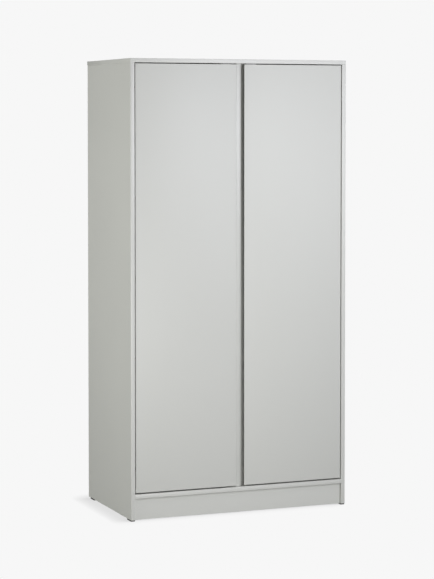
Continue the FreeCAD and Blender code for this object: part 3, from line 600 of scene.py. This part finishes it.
def flangeOutline(nearest=5.0, farthest=40.0, halvings=30):
    # round flange and upright tab flowing into each other, found along rays from the cup centre
    look = cupLook

    def outside(across, up):
        ring = math.hypot(across, up) - look["flangeRadius"]
        overAcross = abs(across - look["tabShift"]) - look["tabHalf"][0] + look["tabRound"]
        overUp = abs(up) - look["tabHalf"][1] + look["tabRound"]
        tab = (math.hypot(max(overAcross, 0.0), max(overUp, 0.0))
               + min(max(overAcross, overUp), 0.0) - look["tabRound"])
        share = max(look["blend"] - abs(ring - tab), 0.0) / look["blend"]
        return min(ring, tab) - share * share * look["blend"] / 4

    outline = []
    for across, up in circleOutline(1.0, look["outlineSteps"]):
        near, far = nearest, farthest
        for halving in range(halvings):
            middle = (near + far) / 2
            if outside(middle * across, middle * up) > 0:
                far = middle
            else:
                near = middle
        outline.append((near * across, near * up))
    return outline


def addSlab(work, outline, low, high, place, soften=0.0, hole=None):
    # flat plate from an outline; place turns (across, up, level) into a point
    loops = [(outline, low), (outline, high)] + ([(hole, high), (hole, low)] if hole else [])
    rings = [[work.verts.new(place(*point, level)) for point in loop] for loop, level in loops]
    if hole:
        for index, ring in enumerate(rings):
            joinRings(work, ring, rings[(index + 1) % len(rings)])
        return
    joinRings(work, *rings)
    caps = [work.faces.new(ring) for ring in rings]
    if soften:
        roundEdges(work, {edge for cap in caps for edge in cap.edges}, soften, 2)


def addLathe(work, profile, place, steps=56):
    # turned shape; the profile starts and ends on its axis
    rings = []
    for radius, level in profile:
        ring = circleOutline(radius, steps) if radius else [(0.0, 0.0)]
        rings.append([work.verts.new(place(x, z, level)) for x, z in ring])
    for first, second in zip(rings, rings[1:]):
        joinRings(work, first, second)


def armShape():
    look = hingeLook
    work = bmesh.new()
    flat = lambda x, y, z: Vector((x, y, z))
    outline = stripOutline(roundedPath(look["armPath"], look["armBend"]), look["armThick"])
    addSlab(work, outline, -look["armHalf"], look["armHalf"], flat, look["armSoft"])
    half = look["armHalf"] + look["eyeProud"]
    addSlab(work, circleOutline(look["eyeRadius"], 28), -half, half, flat, look["softEdge"])
    top = look["armPath"][-1][0] + look["armThick"] / 2
    addSlab(work, roundedRectangle(look["ribHalf"], look["ribRound"]),
            top - look["softEdge"], top + look["ribRise"],
            lambda z, y, x: Vector((x, y + look["ribAlong"], z)), look["softEdge"])
    return work


def plateShape():
    look = plateLook
    work = bmesh.new()
    (lowX, lowY), (highX, highY) = look["channel"]
    channel = roundedRectangle((look["channelHalf"], (highY - lowY) / 2), look["channelRound"])
    addSlab(work, channel, lowX, highX,
            lambda z, y, x: Vector((x, y + (lowY + highY) / 2, z)), look["channelSoft"])
    addSlab(work, roundedRectangle(look["wingHalf"], look["wingRound"]),
            lowX, lowX + look["wingThick"],
            lambda y, z, x: Vector((x, y + look["wingMiddle"], z)), look["wingSoft"])
    return work


def cupShape():
    look = cupLook
    work = bmesh.new()
    back = look["doorBack"]
    floor = back - look["depth"]
    outer, inner, corner = look["radius"], look["radius"] - look["wall"], look["round"]
    rim = outer - look["wall"] / 2
    turns = [math.pi / 2 * step / look["roundSteps"] for step in range(look["roundSteps"] + 1)]
    profile = [(0.0, floor)]
    for angle in turns:
        profile.append((outer - corner + corner * math.sin(angle),
                        floor + corner - corner * math.cos(angle)))
    profile += [(outer, back + look["lipRise"]), (rim, back + look["lipTop"]),
                (inner, back + look["lipRise"])]
    for angle in turns[::-1]:
        profile.append((inner - corner + corner * math.sin(angle),
                        floor + look["bottom"] + corner - corner * math.cos(angle)))
    profile.append((0.0, floor + look["bottom"]))
    place = lambda x, z, y: Vector((x + look["centre"], y, z))
    addLathe(work, profile, place)
    addSlab(work, flangeOutline(), back, back + look["flangeThick"], place,
            hole=circleOutline(rim, look["outlineSteps"]))
    for way in (-1, 1):
        low, high = sorted((way * look["earLow"], way * look["earHigh"]))
        addSlab(work, roundedRectangle(look["earHalf"], look["earRound"]), low, high,
                lambda x, y, z: Vector((x, y + look["earAlong"], z)), hingeLook["softEdge"])
    return work


def hingePieces(name, shape, side, body, node, notch=False):
    # the drawn shape at every hinge level, mirrored for the right door
    one = bpy.data.meshes.new(name + "One")
    drawn = shape()
    drawn.to_mesh(one)
    drawn.free()
    work = bmesh.new()
    metres = Matrix.Scale(0.001, 4)
    pivot = Vector((-innerX + hingeLook["pivotFromSide"] / 1000,
                    frontY + hingeLook["pivotFromFront"] / 1000, 0.0))
    mirror = Matrix.Diagonal((-1.0 if side > 0 else 1.0, 1.0, 1.0, 1.0))
    turns = [mirror @ Matrix.Translation(pivot + Vector((0, 0, z))) for z in hingeLevels]
    for turn in turns:
        copy = one.copy()
        copy.transform(turn @ metres)
        work.from_mesh(copy)
        bpy.data.meshes.remove(copy)
    bpy.data.meshes.remove(one)
    piece = meshObject(name, work, [finishes["nickelPlated"]])
    if notch:
        cutters = bmesh.new()
        half = doorLook["notchHalf"]
        for turn in turns:
            addBox(cutters, (*(value / 1000 for value in cupLook["notchLow"]), -half),
                   (*(value / 1000 for value in cupLook["notchHigh"]), half), turn)
        cutHoles(piece, [meshObject(name + "Notch", cutters, [finishes["nickelPlated"]])], True)
    standsFor(piece, body, "nickel_steel", node)


for side, word in bothSides:
    hingePieces(word + "HingeArms", armShape, side, "carcass", word + "_hinge_arms")
    hingePieces(word + "MountingPlates", plateShape, side, "carcass", word + "_mounting_plates")
    hingePieces(word + "HingeCups", cupShape, side, word + "_leaf", word + "_hinge_cups", True)
print("hinges made")


# ---- geometry node trees for what repeats

commonInputs = [("Sides", "Int", 24), ("Seed", "Int", 3), ("Spin", "Float", 1.57),
                ("Material", "Material")]
shankSides = 12
domeRings = 12


def repeatTree(name, inputs):
    tree, come, leave = newTree("GeometryNodeTree", name,
                                [("Spots", "Geometry")] + inputs + commonInputs,
                                [("Pieces", "Geometry")])
    tree.is_modifier = True
    return tree, come, leave


def offsetVector(tree, x, y, z):
    return addNode(tree, "ShaderNodeCombineXYZ", [(0, x), (1, y), (2, z)]).outputs[0]


def moved(tree, source, rise, turn=(0.0, 0.0, 0.0)):
    return addNode(tree, "GeometryNodeTransform",
                   [("Geometry", source), ("Translation", offsetVector(tree, 0.0, 0.0, rise)),
                    ("Rotation", turn)]).outputs["Geometry"]


def addRod(tree, sides, radius, length, share):
    # upright rod, shifted along its axis by a share of its length
    rod = addNode(tree, "GeometryNodeMeshCylinder",
                  [("Vertices", sides), ("Radius", radius), ("Depth", length)])
    return moved(tree, rod.outputs["Mesh"], mathNode(tree, "MULTIPLY", length, share))


def gathered(tree, kind, socket, sources, **settings):
    node = addNode(tree, kind, **settings)
    for source in sources:
        tree.links.new(source, node.inputs[socket])
    return node


def scatterOnSpots(tree, come, leave, stamp):
    # one stamp on every spot, its Z along the stored direction, spun by a seeded amount
    facing = addNode(tree, "GeometryNodeInputNamedAttribute", [("Name", "facing")],
                     data_type="FLOAT_VECTOR")
    aim = addNode(tree, "FunctionNodeAlignRotationToVector",
                  [("Vector", facing.outputs["Attribute"])], axis="Z")
    chance = addNode(tree, "FunctionNodeRandomValue",
                     [("Seed", come.outputs["Seed"]), (2, 0.0), (3, come.outputs["Spin"])],
                     data_type="FLOAT")
    turn = addNode(tree, "FunctionNodeEulerToRotation",
                   [(0, offsetVector(tree, 0.0, 0.0, chance.outputs[1]))])
    spin = addNode(tree, "FunctionNodeRotateRotation",
                   [("Rotation", aim.outputs[0]), ("Rotate By", turn.outputs[0])],
                   rotation_space="LOCAL")
    placed = addNode(tree, "GeometryNodeInstanceOnPoints",
                     [("Points", come.outputs["Spots"]), ("Instance", stamp),
                      ("Rotation", spin.outputs[0])])
    solid = addNode(tree, "GeometryNodeRealizeInstances",
                    [("Geometry", placed.outputs["Instances"])])
    painted = addNode(tree, "GeometryNodeSetMaterial",
                      [("Geometry", solid.outputs["Geometry"]),
                       ("Material", come.outputs["Material"])])
    tree.links.new(painted.outputs["Geometry"], leave.inputs["Pieces"])


def makeFastenerTree():
    # head with a cross recess on a plain shank
    tree, come, leave = repeatTree("fastener", [
        ("Head Radius", "Float", 0.004), ("Top Radius", "Float", 0.003),
        ("Head Height", "Float", 0.0016), ("Shank Radius", "Float", 0.0015),
        ("Shank Length", "Float", 0.010), ("Recess Length", "Float", 0.004),
        ("Recess Width", "Float", 0.0008), ("Recess Depth", "Float", 0.001)])
    put = come.outputs
    head = addNode(tree, "GeometryNodeMeshCone",
                   [("Vertices", put["Sides"]), ("Radius Top", put["Top Radius"]),
                    ("Radius Bottom", put["Head Radius"]), ("Depth", put["Head Height"])])
    twice = mathNode(tree, "MULTIPLY", put["Recess Depth"], 2.0)
    size = offsetVector(tree, put["Recess Length"], put["Recess Width"], twice)
    bar = addNode(tree, "GeometryNodeMeshCube", [("Size", size)]).outputs["Mesh"]
    crossed = [moved(tree, bar, put["Head Height"], (0.0, 0.0, turn))
               for turn in (0.0, math.pi / 2)]
    bars = gathered(tree, "GeometryNodeMeshBoolean", "Mesh 2", crossed, operation="UNION")
    cut = addNode(tree, "GeometryNodeMeshBoolean", operation="DIFFERENCE")
    tree.links.new(head.outputs["Mesh"], cut.inputs["Mesh 1"])
    tree.links.new(bars.outputs["Mesh"], cut.inputs["Mesh 2"])
    shank = addRod(tree, shankSides, put["Shank Radius"], put["Shank Length"], -0.5)
    whole = gathered(tree, "GeometryNodeJoinGeometry", 0, (cut.outputs["Mesh"], shank))
    scatterOnSpots(tree, come, leave, whole.outputs[0])
    return tree


def makePlugTree():
    # stepped round plug: buried end, collar, tongue
    tree, come, leave = repeatTree("steppedPlug", [
        ("Buried Radius", "Float", 0.0025), ("Buried Length", "Float", 0.009),
        ("Collar Radius", "Float", 0.004), ("Collar Height", "Float", 0.001),
        ("Tongue Radius", "Float", 0.0025), ("Tongue Length", "Float", 0.009)])
    put = come.outputs
    rods = [addRod(tree, put["Sides"], put[radius], put[length], share)
            for radius, length, share in (("Buried Radius", "Buried Length", -0.5),
                                          ("Collar Radius", "Collar Height", 0.5),
                                          ("Tongue Radius", "Tongue Length", 0.5))]
    whole = gathered(tree, "GeometryNodeJoinGeometry", 0, rods)
    scatterOnSpots(tree, come, leave, whole.outputs[0])
    return tree


def makeDomeTree():
    # low round pad: a flattened ball, half of it below the surface
    tree, come, leave = repeatTree("dome", [("Radius", "Float", 0.005),
                                            ("Height", "Float", 0.0016)])
    put = come.outputs
    ball = addNode(tree, "GeometryNodeMeshUVSphere",
                   [("Segments", put["Sides"]), ("Rings", domeRings), ("Radius", 1.0)])
    size = offsetVector(tree, put["Radius"], put["Radius"], put["Height"])
    squash = addNode(tree, "GeometryNodeTransform",
                     [("Geometry", ball.outputs["Mesh"]), ("Scale", size)])
    scatterOnSpots(tree, come, leave, squash.outputs["Geometry"])
    return tree


fastenerTree = makeFastenerTree()
plugTree = makePlugTree()
domeTree = makeDomeTree()


def growOnSpots(name, tree, spots, settings, node, body="carcass", slot="zinc"):
    mesh = bpy.data.meshes.new(name + "Spots")
    mesh.from_pydata([point for point, facing in spots], [], [])
    stored = mesh.attributes.new("facing", "FLOAT_VECTOR", "POINT")
    for index, (point, facing) in enumerate(spots):
        stored.data[index].vector = facing
    piece = linkedObject(name, mesh)
    grown = piece.modifiers.new("grow", "NODES")
    grown.node_group = tree
    sockets = {item.name: item.identifier for item in tree.interface.items_tree
               if item.item_type == "SOCKET" and item.in_out == "INPUT"}
    for label, value in settings.items():
        grown[sockets[label]] = value
    grown[sockets["Material"]] = finishes[slotFinish[slot]]
    bakeModifiers(piece)
    standsFor(piece, body, slot, node)


screwColumns = ("Head Radius", "Top Radius", "Head Height", "Shank Length",
                "Recess Length", "Recess Width", "Recess Depth")
screwSizes = {
    "plateScrews": (0.0042, 0.0034, 0.0016, 0.0120, 0.0050, 0.0010, 0.0012),
    "armScrews": (0.0036, 0.0030, 0.0018, 0.0060, 0.0044, 0.0009, 0.0012),
    "cupScrews": (0.0040, 0.0032, 0.0014, 0.0100, 0.0048, 0.0010, 0.0010),
    "railScrews": (0.0038, 0.0022, 0.0019, 0.0025, 0.0038, 0.0009, 0.0010),
    "bracketScrews": (0.0045, 0.0032, 0.0022, 0.0025, 0.0050, 0.0010, 0.0014),
    "lathScrews": (0.0038, 0.0026, 0.0016, 0.0100, 0.0040, 0.0009, 0.0011),
    "camLocks": (0.00745, 0.00745, 0.0130, 0.0002, 0.0090, 0.0020, 0.0020),
    "backNails": (0.0022, 0.0016, 0.0007, 0.0140, 0.0004, 0.0004, 0.0001),
}
ownSettings = {"camLocks": {"Sides": 40}, "backNails": {"Shank Radius": 0.0008, "Sides": 14}}
roundPieces = {"Sides": 28, "Spin": 0.0}

hingePlace = dict(plateScrewY=0.062, plateScrewRise=0.016, wingHeight=0.0025, armTopX=0.0142,
                  armScrewY=(0.0585, 0.0825), cupScrewIn=0.005, cupScrewRise=0.024, flange=0.001)
railScrewPlace = dict(rise=0.0215, socketThick=0.0025)
bracketPlace = dict(xs=(0.230, 0.250), fromRear=0.024, thick=0.0025)
lathScrewPlace = dict(count=5, lowest=0.170, pitch=0.420, stagger=0.015)
nailPlace = dict(count=10, lowest=0.150, pitch=0.195, xs=(-0.40, -0.24, -0.08, 0.08, 0.24, 0.40))
padPlace = dict(xs=(0.090, 0.430), rise=0.014)


def screwSettings(name):
    return {**dict(zip(screwColumns, screwSizes[name])), **ownSettings.get(name, {})}


def makeHingeScrews(side, word):
    look = hingePlace
    plate, arm, cup = [], [], []
    cupX = side * (doorEdgeX - doorLook["cupFromEdge"] - look["cupScrewIn"])
    for z in hingeLevels:
        for way in (-1, 1):
            plate.append(((side * (innerX - look["wingHeight"]), frontY + look["plateScrewY"],
                           z + way * look["plateScrewRise"]), (-side, 0, 0)))
            cup.append(((cupX, doorBackY + look["flange"], z + way * look["cupScrewRise"]),
                        (0, 1, 0)))
        for along in look["armScrewY"]:
            arm.append(((side * (innerX - look["armTopX"]), frontY + along, z), (-side, 0, 0)))
    for label, spots, body in (("plate", plate, "carcass"), ("arm", arm, "carcass"),
                               ("cup", cup, word + "_leaf")):
        growOnSpots(word + label.title() + "Screws", fastenerTree, spots,
                    screwSettings(label + "Screws"), word + "_" + label + "_screws", body)


def railScrewSpots():
    thick = railScrewPlace["socketThick"]
    return [((x, 0, railZ + way * railScrewPlace["rise"]), (facing, 0, 0))
            for x, facing in ((-innerX + thick, 1), (-partitionX - thick, -1)) for way in (-1, 1)]


def bracketScrewSpots():
    y = sideRearY - bracketPlace["fromRear"]
    return [((x, y, ceilingZ - bracketPlace["thick"]), (0, 0, -1)) for x in bracketPlace["xs"]]


def lathScrewSpots():
    low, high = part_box("closing_lath_right")
    look = lathScrewPlace
    return [((side * high.x, (low.y + high.y) / 2,
              look["lowest"] + step * look["pitch"] + side * look["stagger"]), (side, 0, 0))
            for side in (-1, 1) for step in range(look["count"])]


def nailSpots():
    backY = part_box("back_board_left")[1].y
    half = boardThick / 2
    spots = [((side * (innerX + half), backY, nailPlace["lowest"] + step * nailPlace["pitch"]),
              (0, 1, 0)) for side in (-1, 1) for step in range(nailPlace["count"])]
    return spots + [((x, backY, bottomZ + half), (0, 1, 0)) for x in nailPlace["xs"]]


def makeRepeats():
    for side, word in bothSides:
        makeHingeScrews(side, word)
    camHeight = screwSettings("camLocks")["Head Height"]
    cams = [(Vector(point) + Vector(way) * camHeight, -Vector(way)) for point, way in camPlaces()]
    for name, spots, node in (("camLocks", cams, "cam_locks"),
                              ("railScrews", railScrewSpots(), "rail_screws"),
                              ("bracketScrews", bracketScrewSpots(), "bracket_screws"),
                              ("lathScrews", lathScrewSpots(), "lath_screws"),
                              ("backNails", nailSpots(), "back_nails")):
        growOnSpots(name, fastenerTree, spots, screwSettings(name), node)
    pins = [((x, y, level - pinSize["radius"]), (facing, 0, 0)) for level in shelfLevels
            for y in pinSize["rows"] for x, facing in ((partitionX, 1), (innerX, -1))]
    growOnSpots("shelfPins", plugTree, pins, roundPieces, "shelf_pins")
    for side, word in bothSides:
        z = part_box(word + "_door")[0].z + padPlace["rise"]
        pads = [((side * x, doorBackY, z), (0, 1, 0)) for x in padPlace["xs"]]
        growOnSpots(word + "SoftPads", domeTree, pads, roundPieces, word + "_door_bumpers",
                    word + "_leaf", "soft_pad")


makeRepeats()
print("screws, cams, pins, nails and pads made")


# ---- rail

railLook = dict(halfHeight=0.015, halfDepth=0.0075, wall=0.0012, arcSteps=24)


def ovalRing(halfHeight, radius, steps):
    reach = halfHeight - radius
    ring = []
    for lift, start in ((reach, 0.0), (-reach, math.pi)):
        for step in range(steps + 1):
            angle = start + math.pi * step / steps
            ring.append((radius * math.cos(angle), lift + radius * math.sin(angle)))
    return ring


def makeRail():
    low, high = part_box("hanging_rail")
    middleY = (low.y + high.y) / 2
    outer, inner = [ovalRing(railLook["halfHeight"] - wall, railLook["halfDepth"] - wall,
                             railLook["arcSteps"]) for wall in (0.0, railLook["wall"])]
    work = bmesh.new()
    rings = [[work.verts.new((x, middleY + y, railZ + z)) for y, z in points]
             for points, x in ((outer, low.x), (outer, high.x), (inner, high.x), (inner, low.x))]
    for index, ring in enumerate(rings):
        joinRings(work, ring, rings[(index + 1) % len(rings)])
    piece = meshObject("hangingRail", work, [finishes["railChrome"]])
    standsFor(piece, "carcass", "chrome_rail", "hanging_rail")


# ---- glides

glideLook = dict(length=0.050, height=0.005, round=0.0008, middleY=0.170)


def makeGlides():
    low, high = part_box("floor_glides")
    halfLength, halfWidth = glideLook["length"] / 2, boardThick / 2
    outerRows = (low.y + halfLength, high.y - halfLength)
    places = [(side * (high.x - halfWidth), y) for side in (-1, 1) for y in outerRows]
    places += [(0.0, way * glideLook["middleY"]) for way in (-1, 1)]
    work = bmesh.new()
    for x, y in places:
        corners = addBox(work, (x - halfWidth, y - halfLength, 0.0),
                         (x + halfWidth, y + halfLength, glideLook["height"]))
        soft = [edge for edge in edgesOf(corners)
                if min(end.co.z for end in edge.verts) < glideLook["height"] / 2]
        roundEdges(work, soft, glideLook["round"], 4)
    piece = meshObject("floorGlides", work, [finishes["blackPlastic"]])
    standsFor(piece, "carcass", "black_plastic", "floor_glides")


# ---- magnet catches and strike plates

magnetLook = dict(round=0.0012, poleX=0.009, poleWidth=0.0030, poleHeight=0.009, poleDrop=0.012,
                  poleReach=0.0009, poleDepth=0.004, poleRound=0.0003)
strikeLook = dict(round=0.0004, screwIn=0.006, headRadius=0.0028, topRadius=0.0022,
                  headHeight=0.0006, headLift=0.0002)


def addRoundedBlock(work, low, high, radius, materialIndex):
    corners = addBox(work, low, high)
    for face in {face for corner in corners for face in corner.link_faces}:
        face.material_index = materialIndex
    roundEdges(work, edgesOf(corners), radius, 3, materialIndex)


def makeMagnet(word):
    low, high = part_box(word + "_magnet_catch")
    look = magnetLook
    halfPole = look["poleWidth"] / 2
    poleZ = high.z - look["poleDrop"]
    work = bmesh.new()
    addRoundedBlock(work, low, high, look["round"], 0)
    for way in (-1, 1):
        x = (low.x + high.x) / 2 + way * look["poleX"]
        addRoundedBlock(work, (x - halfPole, low.y - look["poleReach"], poleZ),
                        (x + halfPole, low.y + look["poleDepth"], poleZ + look["poleHeight"]),
                        look["poleRound"], 1)
    piece = meshObject(word + "MagnetCatch", work,
                       [finishes["palePlastic"], finishes["zincPlated"]])
    standsFor(piece, "carcass", "pale_plastic", word + "_magnet_catch")


def makeStrikePlate(word):
    low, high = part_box(word + "_strike_plate")
    look = strikeLook
    work = bmesh.new()
    addRoundedBlock(work, low, high, look["round"], 0)
    facing = Matrix.Rotation(-math.pi / 2, 4, "X")
    for x in (low.x + look["screwIn"], high.x - look["screwIn"]):
        spot = Matrix.Translation((x, high.y + look["headLift"], (low.z + high.z) / 2))
        bmesh.ops.create_cone(work, cap_ends=True, segments=24, radius1=look["headRadius"],
                              radius2=look["topRadius"], depth=look["headHeight"],
                              matrix=spot @ facing)
    piece = meshObject(word + "StrikePlate", work, [finishes["zincPlated"]])
    standsFor(piece, word + "_leaf", "zinc", word + "_strike_plate")


makeRail()
makeGlides()
for side, word in bothSides:
    makeMagnet(word)
    makeStrikePlate(word)
print("rail, glides and magnets made")


# ---- studio

studio = dict(paper=(0.930, 0.930, 0.930, 1.0), ambient=0.463, ambientTint=(0.995, 1.0, 1.02),
              horizon=0.05, skyFull=0.60, floorBounce=(0.34, 0.34, 0.33, 1.0), floorRadius=60.0,
              contactReach=0.085, contactDepth=0.57, contactLean=(0.85, -0.45, 0.30),
              contactSamples=24)


def seenOrLighting(tree, lighting, seen, outputKind):
    # what the camera sees directly, and what lights the pieces
    leave = tree.nodes.new(outputKind)
    ray = tree.nodes.new("ShaderNodeLightPath")
    choose = addNode(tree, "ShaderNodeMixShader",
                     [("Fac", ray.outputs["Is Camera Ray"]), (1, lighting), (2, seen)])
    tree.links.new(choose.outputs["Shader"], leave.inputs["Surface"])


def makeFloor():
    # plain paper with a soft shade where the carcass stands on it
    material = bpy.data.materials.new("paleFloor")
    material.use_nodes = True
    tree = material.node_tree
    tree.nodes.clear()
    bounce = addNode(tree, "ShaderNodeBsdfDiffuse", [("Color", studio["floorBounce"])])
    near = addNode(tree, "ShaderNodeAmbientOcclusion",
                   [("Distance", studio["contactReach"]),
                    ("Normal", offsetVector(tree, *studio["contactLean"]))],
                   samples=studio["contactSamples"])
    paper = studio["paper"][:3]
    shade = tuple(value * studio["contactDepth"] for value in paper)
    glow = addNode(tree, "ShaderNodeEmission",
                   [("Color", mixColours(tree, near.outputs["AO"], shade, paper))])
    seenOrLighting(tree, bounce.outputs["BSDF"], glow.outputs["Emission"],
                   "ShaderNodeOutputMaterial")
    work = bmesh.new()
    bmesh.ops.create_circle(work, cap_ends=True, segments=96, radius=studio["floorRadius"])
    floor = meshObject("studioFloor", work, [material])
    if floor.data.polygons[0].normal.z < 0:
        floor.data.flip_normals()


def makeWorld():
    # even paper for the camera, light from above the horizon for the pieces
    world = bpy.data.worlds.new("studioAir")
    bpy.context.scene.world = world
    world.use_nodes = True
    tree = world.node_tree
    tree.nodes.clear()
    place = tree.nodes.new("ShaderNodeTexCoord")
    split = addNode(tree, "ShaderNodeSeparateXYZ", [(0, place.outputs["Generated"])])
    height = rampBetween(tree, split.outputs["Z"], 0.0, 1.0, studio["horizon"], studio["skyFull"])
    light = addNode(tree, "ShaderNodeBackground",
                    [("Color", mixColours(tree, height, (0.0, 0.0, 0.0), studio["ambientTint"])),
                     ("Strength", studio["ambient"])])
    paper = addNode(tree, "ShaderNodeBackground", [("Color", studio["paper"])])
    seenOrLighting(tree, light.outputs["Background"], paper.outputs["Background"],
                   "ShaderNodeOutputWorld")


lamps = {
    "frontHigh": dict(place=(0.50, -2.20, 2.00), aim=(0.20, -0.29, 1.50), size=0.8, power=16.0,
                      colour=(1.00, 1.0, 1.08)),
    "frontLow": dict(place=(-0.50, -2.60, 0.50), aim=(-0.30, -0.29, 0.60), size=0.8, power=19.5,
                     colour=(1.01, 1.0, 1.01)),
    "leftSide": dict(place=(-3.20, -0.40, 1.50), aim=(-0.50, 0.00, 1.30), size=1.2, power=46.5,
                     colour=(1.0, 1.0, 0.98)),
    "rightFront": dict(place=(2.40, -3.40, 1.90), aim=(0.00, -0.29, 1.30), size=1.4, power=34.0,
                       colour=(0.98, 1.0, 1.07)),
}


def makeLamps():
    for name, look in lamps.items():
        light = bpy.data.lights.new(name, "AREA")
        light.shape = "RECTANGLE"
        light.size = light.size_y = look["size"]
        light.energy = look["power"]
        light.color = look["colour"]
        lamp = linkedObject(name, light)
        lamp.location = look["place"]
        ahead = Vector(look["aim"]) - Vector(look["place"])
        lamp.rotation_euler = ahead.to_track_quat("-Z", "Y").to_euler()


cameraLook = dict(place=(-3.2256, -8.0163, 1.7096), yaw=21.969, pitch=2.495, sensor=36.0,
                  lens=121.2, shiftY=-0.15, farthest=200.0)


def makeCamera():
    lens = bpy.data.cameras.new("viewCamera")
    lens.sensor_width = cameraLook["sensor"]
    lens.lens = cameraLook["lens"]
    lens.shift_y = cameraLook["shiftY"]
    lens.clip_end = cameraLook["farthest"]
    camera = linkedObject("viewCamera", lens)
    camera.location = cameraLook["place"]
    camera.rotation_euler = (math.radians(90.0 - cameraLook["pitch"]), 0.0,
                             -math.radians(cameraLook["yaw"]))
    bpy.context.scene.camera = camera


makeFloor()
makeWorld()
makeLamps()
makeCamera()
bpy.context.scene.view_settings.view_transform = "Standard"
print("studio ready")
